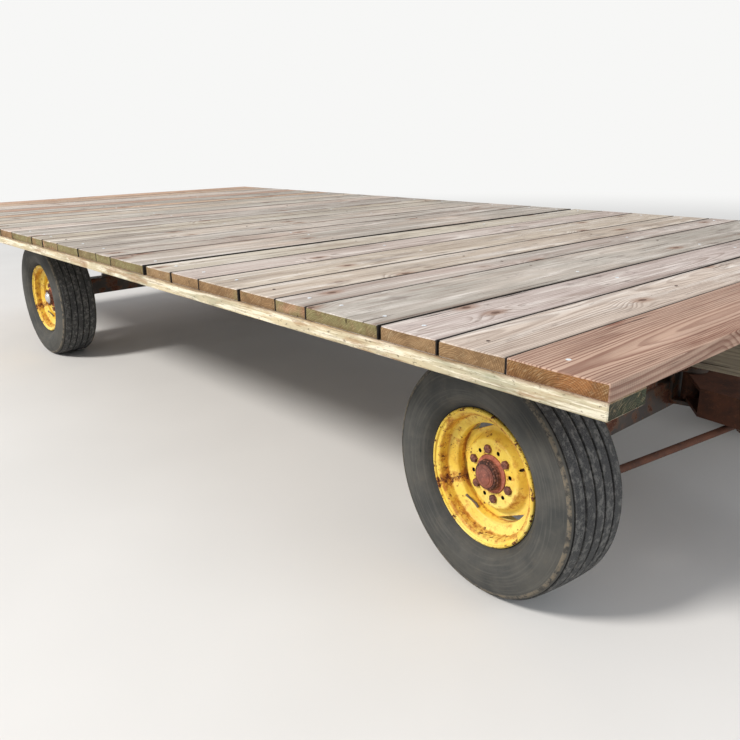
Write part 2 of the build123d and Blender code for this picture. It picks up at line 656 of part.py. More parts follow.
def on_wheel(shape, x, side, pivot=None):
    """shape, made about the wheel's middle with its outer side to +Y, put on the wagon."""
    face_out = Rot(0, 0, 0) if side > 0 else Rot(0, 0, 180)
    placed = Pos(x, wheel_y(side), hub_height) * face_out * shape
    return turned(placed, pivot) if pivot else placed


def tongue_place():
    """The parked tongue's place: hinged on the steering head, nose on the ground."""
    x = steer_pivot[0] + HINGE_AHEAD
    about = Pos(steer_pivot[0], 0, 0) * Rot(0, 0, PARKED_STEER) * Pos(-steer_pivot[0], 0, 0)
    return about * Pos(x, 0, HINGE_HEIGHT) * Rot(0, TONGUE_DROP, 0)


def tongue_yoke():
    half = HEAD_HALF_WIDTH - HEAD_PLATE - BOSS_SIDE_PLAY
    tube = TONGUE_TUBE / 2
    boss = Rot(90, 0, 0) * Cylinder(BOSS_RADIUS, 2 * half)
    yoke = boss
    for side in (-1, 1):
        points = [
            (0, side * half),
            (YOKE_BAR_END, side * tube),
            (TUBE_START, side * tube),
            (0, side * (half - YOKE_BAR_WIDTH)),
        ]
        yoke += slab(points, -YOKE_BAR_HEIGHT / 2, YOKE_BAR_HEIGHT / 2)
    web = tube + YOKE_WEB_OVERHANG
    yoke += block(TUBE_START - YOKE_WEB, TUBE_START, -web, web, -YOKE_BAR_HEIGHT / 2, YOKE_BAR_HEIGHT / 2)
    yoke -= Rot(90, 0, 0) * Cylinder(HINGE_PIN_RADIUS + PIN_PLAY, 2 * half)
    return tongue_place() * yoke


def tongue_tube():
    tube = Pos(TUBE_START, 0, 0) * square_tube(TUBE_END - TUBE_START, TONGUE_TUBE, TONGUE_WALL)
    return tongue_place() * tube


def hitch_clevis():
    """Two straps that take the drawbar between them, with a hole for the hitch pin."""
    half = TONGUE_TUBE / 2
    made = []
    for z in (half, -half - STRAP_THICKNESS):
        strap = block(STRAP_START, HITCH_BORE_AHEAD, -half, half, z, z + STRAP_THICKNESS)
        strap += post(HITCH_BORE_AHEAD, 0, z, z + STRAP_THICKNESS, half)
        made.append(strap - post(HITCH_BORE_AHEAD, 0, z, z + STRAP_THICKNESS, HITCH_BORE_RADIUS))
    return tongue_place() * Compound(children=made)


def write(name, shape):
    export_step(shape, f"parts/{name}.step")


SIDES = [("right", -1), ("left", 1)]

write("deck_planks_weathered", plank_solids("weathered"))
write("deck_planks_fresh", plank_solids("fresh"))
write("front_bolster", bolster(front_axle_x))
write("rear_bolster", bolster(rear_axle_x))
write("front_bolster_posts", bolster_posts(front_axle_x))
write("rear_bolster_posts", bolster_posts(rear_axle_x))
write("bolster_stakes", bolster_stakes())
write("front_axle", front_axle())
write("rear_axle", rear_axle())
write("reach_front", reach_front())
write("reach_rear", reach_rear())
write("front_hounds", Compound(children=[front_hound(side) for name, side in SIDES]))
write("rear_hounds", Compound(children=[rear_hound(side) for name, side in SIDES]))
write("kingpins", Compound(children=[kingpin(side) for name, side in SIDES]))
write("steering_mount", steering_mount())
write("steering_pin", steering_pin())
write("steering_head", steering_head())
write("tongue_hinge_pin", hinge_pin())
write("tongue_yoke", tongue_yoke())
write("tongue_tube", tongue_tube())
write("hitch_clevis", hitch_clevis())

tyre, rim, hub, cap = tyre_ring(), rim_and_disc(), hub_body(), grease_cap()
for name, side in SIDES:
    write(f"edge_rail_{name}", edge_rail(side))
    write(f"sill_{name}", sill(side))
    write(f"knuckle_{name}", knuckle(side))
    write(f"tie_rod_{name}", tie_rod(side))
    pivot = (front_axle_x, side * kingpin_y)
    for axle, x, swing in (("front", front_axle_x, pivot), ("rear", rear_axle_x, None)):
        write(f"tyre_{axle}_{name}", on_wheel(tyre, x, side, swing))
        write(f"rim_{axle}_{name}", on_wheel(rim, x, side, swing))
        write(f"hub_{axle}_{name}", on_wheel(hub, x, side, swing))
        write(f"grease_cap_{axle}_{name}", on_wheel(cap, x, side, swing))

hitch = tongue_place() * Pos(HITCH_BORE_AHEAD, 0, 0)
print("front_axle_x", front_axle_x, "rear_axle_x", rear_axle_x, "deck_front", deck_front, "deck_rear", deck_rear)
print("tongue_drop", TONGUE_DROP, "hitch", hitch.position, "orientation", hitch.orientation)
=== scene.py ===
import json
from functools import partial
from math import atan2, ceil, cos, hypot, pi, radians, sin, tan
from random import Random

import bmesh
import bpy
from mathutils import Matrix, Vector

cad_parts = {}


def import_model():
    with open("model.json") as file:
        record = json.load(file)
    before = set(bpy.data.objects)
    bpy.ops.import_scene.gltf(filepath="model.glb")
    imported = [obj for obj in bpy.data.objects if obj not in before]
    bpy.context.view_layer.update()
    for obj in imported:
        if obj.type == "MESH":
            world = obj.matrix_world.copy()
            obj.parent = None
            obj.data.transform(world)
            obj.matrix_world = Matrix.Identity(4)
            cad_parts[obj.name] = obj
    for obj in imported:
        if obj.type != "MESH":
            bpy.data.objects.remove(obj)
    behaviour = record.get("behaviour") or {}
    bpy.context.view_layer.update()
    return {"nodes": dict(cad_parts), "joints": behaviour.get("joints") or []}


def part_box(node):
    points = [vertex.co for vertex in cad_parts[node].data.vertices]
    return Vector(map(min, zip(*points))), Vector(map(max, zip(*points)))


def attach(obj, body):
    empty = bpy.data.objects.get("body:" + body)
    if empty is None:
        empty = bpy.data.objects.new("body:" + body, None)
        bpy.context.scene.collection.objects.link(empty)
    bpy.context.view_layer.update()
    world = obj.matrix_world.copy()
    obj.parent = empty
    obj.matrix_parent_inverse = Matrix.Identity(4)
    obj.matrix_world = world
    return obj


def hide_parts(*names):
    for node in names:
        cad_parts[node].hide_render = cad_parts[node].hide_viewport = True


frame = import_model()

MM = 0.001


def paint(*shown):
    """A colour of three numbers from 0 to 255, as on the screen, in the linear form that the shaders take."""
    shares = [value / 255 for value in shown]
    return (*(s / 12.92 if s <= 0.04045 else ((s + 0.055) / 1.055) ** 2.4 for s in shares), 1.0)


# Shader maths


def maths(operation, reflected=False):
    """A method that adds a Math node of a value and the method's other inputs."""

    def method(self, *others):
        inputs = (*others, self) if reflected else (self, *others)
        return self.nodes.node("ShaderNodeMath", {"operation": operation}, dict(enumerate(inputs)))

    return method


class Value:
    """A socket in a tree of nodes. Arithmetic on it adds Math nodes, and its methods add the others."""

    def __init__(self, nodes, socket):
        self.nodes = nodes
        self.socket = socket

    __add__, __radd__ = maths("ADD"), maths("ADD", True)
    __sub__, __rsub__ = maths("SUBTRACT"), maths("SUBTRACT", True)
    __mul__, __rmul__ = maths("MULTIPLY"), maths("MULTIPLY", True)
    __truediv__, __rtruediv__ = maths("DIVIDE"), maths("DIVIDE", True)
    sine, root, size, fraction = maths("SINE"), maths("SQRT"), maths("ABSOLUTE"), maths("FRACT")
    least, most = maths("MINIMUM"), maths("MAXIMUM")

    def step(self, low, high):
        """0 below low and 1 above high, smooth between."""
        settings = {"interpolation_type": "SMOOTHSTEP"}
        return self.nodes.node("ShaderNodeMapRange", settings, {0: self, 1: low, 2: high, 3: 0.0, 4: 1.0})

    def below(self, low, high):
        """1 below low and 0 above high."""
        return 1.0 - self.step(low, high)

    def band(self, start, full, fade, end):
        """1 from full to fade, and 0 before start and after end."""
        return self.step(start, full) * self.below(fade, end)

    def mix(self, *colours):
        """Two colours mixed by this share, each a value or three numbers from 0 to 255 as on the screen."""
        first, second = (c if isinstance(c, Value) else paint(*c) for c in colours)
        return self.nodes.node("ShaderNodeMix", {"data_type": "RGBA"}, {0: self, 6: first, 7: second}, 2)

    def split(self):
        return [self.nodes.node("ShaderNodeSeparateXYZ", {}, {0: self}, axis) for axis in "XYZ"]

    def stretch(self, x, y, z):
        return self.nodes.node("ShaderNodeVectorMath", {"operation": "MULTIPLY"}, {0: self, 1: (x, y, z)})

    def noise(self, scale, detail=3.0, roughness=0.55, distortion=0.0):
        inputs = {"Vector": self, "Scale": scale, "Detail": detail, "Roughness": roughness}
        return self.nodes.node("ShaderNodeTexNoise", {}, {**inputs, "Distortion": distortion})

    def streaks(self, along, across, *look):
        """Noise drawn out along a board, with its scales along the length and across it."""
        return self.stretch(along, across, across).noise(1.0, *look)

    def cells(self, scale=1.0, output="Distance", flat=False):
        settings = {"voronoi_dimensions": "2D" if flat else "3D"}
        return self.nodes.node("ShaderNodeTexVoronoi", settings, {"Vector": self, "Scale": scale}, output)


class Nodes:
    """A tree of shader nodes, and the one method that adds to it."""

    def __init__(self, tree):
        self.tree = tree

    def node(self, kind, settings, inputs, output=0):
        made = self.tree.nodes.new(kind)
        for key, value in settings.items():
            setattr(made, key, value)
        for key, value in inputs.items():
            if isinstance(value, Value):
                self.tree.links.new(value.socket, made.inputs[key])
            else:
                made.inputs[key].default_value = value
        return Value(self, made.outputs[output])


class Finish(Nodes):
    """A material, with its shader and the places that patterns start from."""

    def __init__(self, name, **constants):
        self.material = bpy.data.materials.new(name)
        self.material.use_nodes = True
        super().__init__(self.material.node_tree)
        self.shader = self.tree.nodes["Principled BSDF"]
        for socket, value in constants.items():
            self.shader.inputs[socket.replace("_", " ")].default_value = value

    def place(self):
        return self.node("ShaderNodeTexCoord", {}, {}, "Object")

    def attribute(self, name):
        return self.node("ShaderNodeAttribute", {"attribute_name": name}, {}, "Vector")

    def join(self, x, y, z):
        return self.node("ShaderNodeCombineXYZ", {}, {0: x, 1: y, 2: z})

    def drawn(self, x, y, z, *look):
        """Noise at a place given by three values."""
        return self.join(x, y, z).noise(1.0, *look)

    def bump(self, height, distance, strength):
        return self.node("ShaderNodeBump", {}, {"Height": height, "Distance": distance, "Strength": strength})

    def show(self, **links):
        """Links values to the shader's sockets."""
        for socket, value in links.items():
            self.tree.links.new(value.socket, self.shader.inputs[socket.replace("_", " ")])
        return self.material

    def coat(self, colour, *coats):
        """Links the base colour: one colour, and over it one coat after another, each after its share."""
        for share, over in coats:
            colour = share.mix(colour, over)
        self.show(Base_Color=colour)


# Finishes

KNOTS_ALONG, KNOTS_ACROSS, KNOT_STRETCH = 1.3, 5.2, 0.5
SAW_MARKS = 930.0
SEAM_TURN = 2.0


def wood(name, light, warm, grain, grey, pale, ring_share, weather, knot, ring=0.0068):
    """Flat-sawn timber: the wood attribute is the spot in its log, along, across and through the rings."""
    finish = Finish(name, Specular_IOR_Level=0.2)
    spot = finish.attribute("wood")
    lightness, greyness, contrast = finish.attribute("mood").split()
    low_side, high_side, above = finish.attribute("edges").split()
    along, across, through = spot.split()

    slow = spot.streaks(0.75, 3.0, 2.0, 0.45) - 0.5
    lean = spot.streaks(0.55, 0.0, 1.0, 0.4) - 0.5
    knot_grid = spot.stretch(KNOTS_ALONG, KNOTS_ACROSS, 0.0)
    knot_along, knot_across, _ = knot_grid.cells(1.0, "Position", True).split()
    chosen = knot_grid.cells(1.0, "Color", True).split()[0].step(0.42, 0.46)
    off_along = (along - knot_along / KNOTS_ALONG) * KNOT_STRETCH
    off_across = across - knot_across / KNOTS_ACROSS
    knots = (off_along * off_along + off_across * off_across).root()
    pull = knots.below(0.0, 0.075) * chosen
    side = across + slow * 0.05 + pull * 0.020
    deep = through + lean * 0.13 + slow * 0.02 + pull * 0.018
    radius = (side * side + deep * deep).root()
    uneven = finish.drawn(radius * 46.0, along * 0.25, 0.0, 2.0, 0.6)
    wobble = spot.streaks(6.0, 20.0, 3.0, 0.6) * 0.35
    late = (radius * (1.0 / ring) + uneven * 2.6 + wobble).fraction().band(0.34, 0.86, 0.90, 1.0)
    strong = finish.drawn(radius * 30.0, along * 0.2, 3.0, 1.0, 0.5).step(0.30, 0.68)

    hairs = spot.streaks(6.0, 420.0, 3.0, 0.65)
    fibre = spot.streaks(3.0, 120.0, 4.0, 0.6)
    streak = spot.streaks(1.2, 17.0, 4.0, 0.62, 0.6)
    broad = spot.streaks(1.3, 5.0, 4.0, 0.6)
    stain = spot.streaks(3.4, 9.0, 5.0, 0.68)
    specks = spot.streaks(38.0, 120.0, 4.0, 0.72)
    bleach = spot.streaks(1.7, 11.0, 5.0, 0.66, 0.8)
    rot = spot.streaks(9.0, 30.0, 6.0, 0.70)
    checks = spot.streaks(2.6, 120.0, 2.0, 0.5).step(0.685, 0.71)
    rough_cut = spot.streaks(1.3, 9.0, 2.0, 0.5).step(0.46, 0.62)
    sawn = ((along * SAW_MARKS + spot.noise(9.0) * 9.0).sine() * 0.5 + 0.5) * rough_cut

    tint = (lightness * 7.3 + contrast * 3.1).fraction()
    core = knots.below(0.006, 0.011) * chosen
    near = low_side.least(high_side)
    # Painted shade: the boards' sides go near black down into the gaps between them.
    edge = (near + (streak - 0.5) * 0.006).below(0.0006, 0.0034)
    gap_shade = edge.most(near.below(0.0003, 0.0022) * above.step(0.0015, 0.004))
    finish.coat(
        lightness.mix(light, warm),
        (tint.step(0.50, 0.95) * 0.60 * weather, (198, 194, 172)),
        (tint.below(0.05, 0.40) * 0.50 * weather, (178, 166, 170)),
        ((broad + greyness * 0.34).step(0.48, 0.82) * weather, grey),
        (streak.step(0.52, 0.70) * 0.54, grain),
        (streak.below(0.30, 0.48) * 0.66, pale),
        (bleach.step(0.50, 0.68) * 0.60 * weather, pale),
        (late * (0.46 + strong * 0.54) * (contrast * 0.4 + 0.6) * ring_share, grain),
        (fibre.step(0.50, 0.74) * 0.50, grain),
        (hairs.step(0.54, 0.72) * 0.44, (92, 76, 66)),
        (sawn * 0.24, (104, 86, 74)),
        (stain.step(0.55, 0.72) * 0.62 * weather, (104, 90, 84)),
        (rot.step(0.60, 0.70) * 0.60 * weather, (96, 84, 78)),
        (specks.step(0.64, 0.72) * 0.65 * weather, (78, 66, 60)),
        (checks * 0.80, (44, 36, 32)),
        (knots.below(0.010, 0.034) * chosen * 0.60, knot),
        (core * 0.80, (80, 54, 42)),
        # Dirt and painted shade: a darker band along each side that faces a gap, and down that side.
        (near.below(0.0, 0.014) * (0.16 + stain * 0.55), (86, 76, 68)),
        (gap_shade * 0.95, (24, 20, 18)),
    )
    height = late * strong * 0.6 + fibre * 0.7 + hairs * 0.3 - checks * 1.8 + core * 0.4 + sawn * 0.35
    return finish.show(Roughness=0.80 + (fibre - 0.5) * 0.2, Normal=finish.bump(height, 0.0011, 0.75))


def end_grain(name, light, warm, dark, green, green_share):
    """The sawn end of a board: arcs of the log's rings, slanting saw marks, stains and a green cast."""
    finish = Finish(name, Specular_IOR_Level=0.15, Roughness=0.92)
    spot = finish.attribute("wood")
    lightness, greyness, contrast = finish.attribute("mood").split()
    above = finish.attribute("edges").split()[2]
    along, across, through = spot.split()
    bend = spot.noise(11.0, 2.0) - 0.5
    radius = (across * across + through * through).root() + bend * 0.006
    uneven = finish.drawn(radius * 70.0, 0.0, 0.0, 2.0, 0.6)
    rings = (radius * 185.0 + uneven * 1.8).fraction().band(0.25, 0.85, 0.90, 1.0)
    stain = spot.noise(17.0, 5.0, 0.68)
    cloud = spot.noise(6.5, 3.0, 0.6)
    blot = spot.noise(34.0, 4.0, 0.7)
    grain = spot.noise(520.0, 3.0, 0.75)
    saw = finish.drawn(across * 210.0 - through * 260.0, across * 26.0 + through * 20.0, along, 3.0, 0.62)
    cracks = finish.drawn(across * 70.0, through * 16.0, along, 3.0, 0.55).step(0.66, 0.70)
    tint = (lightness * 5.7 + contrast * 2.9).fraction()
    finish.coat(
        lightness.mix(light, warm),
        (tint.band(0.50, 0.54, 0.70, 0.76) * 0.85, (196, 152, 122)),
        (tint.step(0.79, 0.81) * 0.60, (176, 158, 128)),
        ((cloud + greyness * 0.36).step(0.44, 0.64) * green_share, green),
        (stain.step(0.42, 0.68) * 0.66, dark),
        (blot.step(0.56, 0.72) * 0.45, (196, 172, 134)),
        (rings * 0.50, dark),
        (saw.step(0.50, 0.70) * 0.40, dark),
        (saw.below(0.32, 0.46) * 0.34, (198, 172, 134)),
        (above.step(0.022, 0.038) * 0.35, dark),
        (cracks * 0.75, (52, 38, 26)),
        (grain.step(0.50, 0.74) * 0.45, (70, 52, 34)),
    )
    height = rings * 0.4 + grain * 0.9 + saw * 0.8 - cracks
    return finish.show(Normal=finish.bump(height, 0.0012, 0.9))


def old_rail(name):
    """The outer rail: pale sapwood, cream flakes, a grey-green bloom, brown stains and a ragged dark edge."""
    finish = Finish(name, Specular_IOR_Level=0.15, Roughness=0.9)
    spot = finish.attribute("wood")
    above = finish.attribute("edges").split()[2]
    flakes = spot.streaks(5.0, 60.0, 6.0, 0.70)
    bloom = spot.streaks(2.2, 9.0, 4.0, 0.62)
    stain = spot.streaks(4.6, 22.0, 5.0, 0.70)
    fibre = spot.streaks(5.0, 210.0, 4.0, 0.68)
    specks = spot.streaks(60.0, 160.0, 4.0, 0.7)
    knots = spot.stretch(1.4, 6.0, 0.0).cells(flat=True)
    depth = above + (stain - 0.5) * 0.030
    ragged = depth.below(0.0, 0.007).most(depth.step(0.033, 0.041) * 0.6)
    finish.coat(
        bloom.step(0.36, 0.62).mix((206, 191, 158), (182, 174, 148)),
        (flakes.step(0.49, 0.57) * 0.72, (236, 229, 208)),
        (bloom.step(0.56, 0.68) * 0.65, (140, 143, 120)),
        (stain.step(0.52, 0.64) * 0.60, (158, 122, 88)),
        (fibre.step(0.52, 0.68) * 0.65, (124, 102, 78)),
        (specks.step(0.60, 0.68) * 0.60, (92, 78, 64)),
        (knots.below(0.05, 0.11) * 0.65, (130, 88, 58)),
        (ragged * 0.70, (124, 92, 62)),
    )
    height = fibre * 0.8 + flakes * 0.6 - specks.step(0.6, 0.7) * 0.6
    return finish.show(Normal=finish.bump(height, 0.0013, 0.9))


def rusty(name, base, light, dark, scale=1.0, roughness=0.8):
    """Steel or iron rusted all over."""
    finish = Finish(name, Specular_IOR_Level=0.35)
    spot = finish.place()
    broad = spot.noise(9.0 * scale, 5.0, 0.62)
    fine = spot.noise(95.0 * scale, 4.0, 0.7)
    pits = spot.cells(240.0 * scale)
    finish.coat(
        broad.step(0.36, 0.66).mix(base, dark),
        (fine.step(0.52, 0.72) * 0.7, light),
        (pits.below(0.10, 0.34) * 0.35, (44, 28, 22)),
    )
    height = fine * 0.8 + pits * 0.4 + broad * 0.6
    return finish.show(Roughness=roughness + (fine - 0.5) * 0.25, Normal=finish.bump(height, 0.0009, 0.8))


def worn_paint(name, base, faded, rust_share):
    """Old paint over rusty steel: faded patches, chips with dark edges and runs of rust."""
    finish = Finish(name, Specular_IOR_Level=0.4)
    spot = finish.place()
    fade = spot.noise(6.0, 4.0, 0.6)
    grit = spot.noise(160.0, 3.0, 0.7)
    blotch = spot.noise(17.0, 6.0, 0.68) + (grit - 0.5) * 0.16
    bare = blotch.step(rust_share, rust_share + 0.035)
    finish.coat(
        fade.step(0.35, 0.68).mix(base, faded),
        (blotch.step(rust_share - 0.07, rust_share) * 0.55, (122, 74, 38)),
        (bare, grit.step(0.4, 0.7).mix((98, 56, 36), (62, 38, 30))),
    )
    rough = 0.5 + bare * 0.35 + (grit - 0.5) * 0.15
    return finish.show(Roughness=rough, Normal=finish.bump(grit * 0.35 - bare * 1.2, 0.0006, 0.7))


def rim_yellow():
    """Chipped yellow paint on a pressed rim, with orange stain in the folds that is laid on more strongly on
    the bead seats as painted shade, a painted shade line where the disc meets the well, pale lemon patches as
    painted highlights, and rust chips on the lip.
    """
    finish = Finish("rim yellow", Specular_IOR_Level=0.35)
    out, turn, radius = finish.attribute("wheel").split()
    place = finish.place()
    fade = place.noise(9.0, 4.0, 0.6)
    blotch = place.noise(24.0, 6.0, 0.72)
    grit = place.noise(230.0, 4.0, 0.7)
    chips = place.noise(62.0, 6.0, 0.68)
    runs = finish.drawn(radius * 90.0, turn * 1.6, out * 90.0, 4.0, 0.6)
    specks = place.cells(95.0).below(0.10, 0.19) * place.noise(21.0).step(0.42, 0.56)
    lip = radius.step(0.196, 0.204)
    # Bead seats: orange stain, laid on more strongly as painted shade.
    seat = radius.band(0.176, 0.184, 0.188, 0.200) * out.step(0.038, 0.046)
    well = radius.band(0.146, 0.1505, 0.153, 0.158) * out.step(0.000, 0.006)
    corner = well * out.below(0.008, 0.022)
    shoulder = radius.band(0.153, 0.158, 0.172, 0.182) * out.step(0.028, 0.036)
    seam_off = (turn - SEAM_TURN).size()
    seam = seam_off.below(0.010, 0.15) * radius.step(0.140, 0.150)
    bend = radius.band(0.098, 0.106, 0.112, 0.126) * out.step(0.004, 0.010)
    near_hub = radius.below(0.060, 0.076)
    wear_and_seat_shade = blotch + seat * 0.16 + corner * 0.20 + shoulder * 0.06 + bend * 0.07
    wear_and_seat_shade = wear_and_seat_shade + near_hub * 0.10 + seam * 0.13
    chipped = chips - (0.650 - lip * 0.080 - seam * 0.12 - seat * 0.03 - corner * 0.02)
    bare = chipped.step(0.0, 0.018).most(specks * (0.45 + seat * 0.55))
    finish.coat(
        fade.step(0.36, 0.66).mix((236, 206, 86), (222, 184, 66)),
        # Painted highlight: pale lemon patches.
        (place.noise(6.0).step(0.46, 0.68) * 0.65, (244, 228, 132)),
        (runs.step(0.42, 0.72) * (0.16 + seat * 0.62 + well * 0.30), (206, 134, 34)),
        (wear_and_seat_shade.step(0.53, 0.74) * 0.80, (184, 112, 30)),
        (wear_and_seat_shade.step(0.64, 0.84) * 0.70, (128, 76, 34)),
        # Painted shade: a near-black line where the disc meets the well.
        (well * out.below(0.0, 0.0045) * 0.85, (48, 30, 20)),
        (seam_off.below(0.004, 0.014) * radius.step(0.146, 0.150) * 0.75, (92, 54, 30)),
        (chipped.step(-0.045, 0.0) * 0.65, (146, 86, 32)),
        (bare, grit.step(0.4, 0.68).mix((112, 60, 36), (52, 34, 28))),
    )
    rough = 0.42 + wear_and_seat_shade.step(0.5, 0.8) * 0.25 + bare * 0.3 + (grit - 0.5) * 0.12
    height = grit * 0.25 - bare * 1.3 + fade * 0.4
    return finish.show(Roughness=rough, Normal=finish.bump(height, 0.0007, 0.75))


def tyre_rubber():
    """Old rubber: grey walls with faint rings and brown dust, a scuffed brown shoulder, dark worn ribs and
    painted shade in the grooves.
    """
    finish = Finish("tyre rubber", Specular_IOR_Level=0.22)
    out, turn, radius = finish.attribute("wheel").split()
    place = finish.place()
    dust = place.noise(8.0, 5.0, 0.62)
    fine = place.noise(340.0, 4.0, 0.72)
    swirl = finish.drawn(radius * 150.0, turn * 1.4, out, 3.0, 0.6)
    smear = finish.drawn(radius * 26.0, turn * 5.0, out, 4.0, 0.66)
    patchy = finish.drawn(radius * 60.0, turn * 16.0, out * 60.0, 4.0, 0.7)
    scuff = finish.drawn(radius * 60.0, turn * 9.0, out * 20.0, 4.0, 0.7)
    cracks = finish.join(radius * 330.0, turn * 120.0, out * 330.0).cells()
    belt = radius.band(0.3385, 0.3425, 0.3495, 0.3525)
    tread = radius.step(0.3500, 0.3535) * out.size().below(0.0895, 0.0915)
    finish.coat(
        dust.step(0.34, 0.68).mix((63, 64, 63), (82, 81, 77)),
        (swirl.step(0.46, 0.68) * 0.26, (108, 106, 99)),
        (smear.step(0.55, 0.78) * 0.30, (104, 96, 84)),
        (radius.below(0.212, 0.232) * 0.45, (52, 51, 50)),
        (belt * patchy.step(0.40, 0.60) * 0.72, (124, 113, 96)),
        (belt * patchy.below(0.40, 0.50) * 0.60, (56, 52, 48)),
        (tread * 0.85, fine.step(0.36, 0.66).mix((46, 47, 49), (80, 80, 80))),
        (tread * patchy.step(0.48, 0.62) * 0.60, (120, 119, 115)),
        # Painted shade: the grooves' floors and lower walls near black.
        (tread * radius.below(0.3535, 0.3565) * 0.92, (14, 14, 15)),
        (cracks.below(0.04, 0.18) * belt * 0.8, (34, 31, 29)),
        (fine.step(0.60, 0.78) * 0.20, (136, 130, 120)),
        (scuff.step(0.735, 0.765) * 0.7, (176, 172, 162)),
    )
    height = fine * 0.4 + swirl * 0.25 + cracks * belt * 0.8 + patchy * belt * 1.2
    return finish.show(Roughness=0.76 + (fine - 0.5) * 0.25, Normal=finish.bump(height, 0.0008, 0.6))


def hub_iron():
    """Rusted cast iron, redder and lighter on the ring round the nose, darker on the barrel, with a painted
    shade line on the nose under the cap's brim.
    """
    finish = Finish("hub iron", Specular_IOR_Level=0.3)
    out, _, radius = finish.attribute("wheel").split()
    place = finish.place()
    broad = place.noise(16.0, 5.0, 0.62)
    fine = place.noise(150.0, 4.0, 0.7)
    ring = radius.step(0.0465, 0.0485) * out.step(0.030, 0.034)
    bolt_head = radius.below(0.020, 0.024) * out.below(0.014, 0.018)
    # Painted shade: a dark line on the nose just under the cap's brim.
    brim_shade = radius.below(0.0435, 0.0450) * out.step(0.050, 0.054)
    cloud = broad.step(0.4, 0.6)
    finish.coat(
        broad.step(0.36, 0.66).mix((104, 62, 50), (72, 46, 40)),
        (ring * 0.85, cloud.mix((192, 114, 88), (164, 90, 68))),
        (bolt_head * 0.80, cloud.mix((116, 72, 58), (86, 56, 48))),
        (brim_shade * 0.55, (40, 28, 26)),
        (fine.step(0.50, 0.66) * 0.60, (176, 120, 100)),
        (fine.below(0.32, 0.46) * 0.60, (44, 30, 27)),
    )
    normal = finish.bump(fine * 0.9 + broad * 0.6, 0.001, 0.8)
    return finish.show(Roughness=0.78 + (fine - 0.5) * 0.25, Normal=normal)


def bright_steel():
    """A cap that has kept its bare metal, with a little rust in spots."""
    finish = Finish("bright steel")
    place = finish.place()
    rust = place.noise(60.0, 5.0, 0.7).step(0.60, 0.68)
    fine = place.noise(260.0)
    shine = fine.step(0.4, 0.7).mix((214, 216, 218), (188, 189, 190))
    finish.coat(shine, (rust * 0.8, (128, 84, 62)))
    return finish.show(Roughness=0.28 + fine * 0.15 + rust * 0.4, Metallic=0.85 - rust * 0.8)


def speckled(name, scale, light, dark, rough, change, **constants):
    """A small fastener's metal. Its roughness changes with its fine noise."""
    finish = Finish(name, **constants)
    fine = finish.place().noise(scale)
    finish.coat(fine.step(0.4, 0.7).mix(light, dark))
    return finish.show(Roughness=rough + fine * change)


weathered_wood = wood("weathered planks", (216, 206, 195), (200, 182, 167), (124, 101, 88), (172, 168, 159),
                      (238, 232, 224), 0.74, 0.85, (140, 104, 82))
fresh_wood = wood("fresh planks", (190, 157, 138), (182, 144, 125), (104, 58, 42), (168, 148, 138),
                  (206, 178, 160), 1.0, 0.25, (116, 68, 50), 0.0064)
faded_wood = wood("faded planks", (208, 176, 150), (200, 164, 138), (142, 100, 78), (178, 166, 154),
                  (228, 208, 190), 0.85, 0.5, (124, 82, 62), 0.0064)
rail_wood = old_rail("edge rail")
sill_wood = wood("sill timber", (112, 100, 84), (98, 86, 72), (66, 56, 46), (92, 90, 86),
                 (124, 112, 96), 0.45, 0.7, (84, 62, 46))
plank_end = end_grain("plank ends", (174, 146, 110), (146, 114, 80), (98, 74, 50), (134, 132, 92), 0.88)
fresh_end = end_grain("fresh plank ends", (166, 118, 76), (150, 102, 62), (88, 58, 36), (124, 108, 72), 0.40)
rail_end = end_grain("rail ends", (84, 84, 74), (68, 69, 62), (36, 37, 32), (72, 79, 60), 0.8)
tyre_finish = tyre_rubber()
rim_finish = rim_yellow()
hub_rust = hub_iron()
cap_rust = rusty("cap rust", (150, 88, 72), (186, 120, 102), (104, 64, 56), 2.2, 0.6)
cap_bright = bright_steel()
# Painted shade: near-black rust for the walls of drilled holes, so the holes read dark.
hole_shade = rusty("hole shade", (20, 16, 14), (34, 24, 18), (14, 11, 10))
gear_rust = rusty("gear rust", (98, 62, 46), (124, 80, 58), (66, 46, 38))
gear_dark = worn_paint("gear paint", (56, 50, 46), (78, 68, 60), 0.56)
pin_steel = rusty("pin steel", (112, 100, 92), (142, 128, 116), (84, 66, 54), 1.5, 0.5)
zinc_finish = speckled("screw zinc", 300.0, (232, 238, 242), (190, 196, 200), 0.3, 0.3, Metallic=0.35)
nail_finish = speckled("nail rust", 240.0, (54, 40, 33), (84, 56, 42), 0.9, 0.0)


# Meshes

# Degrees by which the surface turns at an edge that stays sharp
SHARP, TYRE_SHARP = 35.0, 40.0


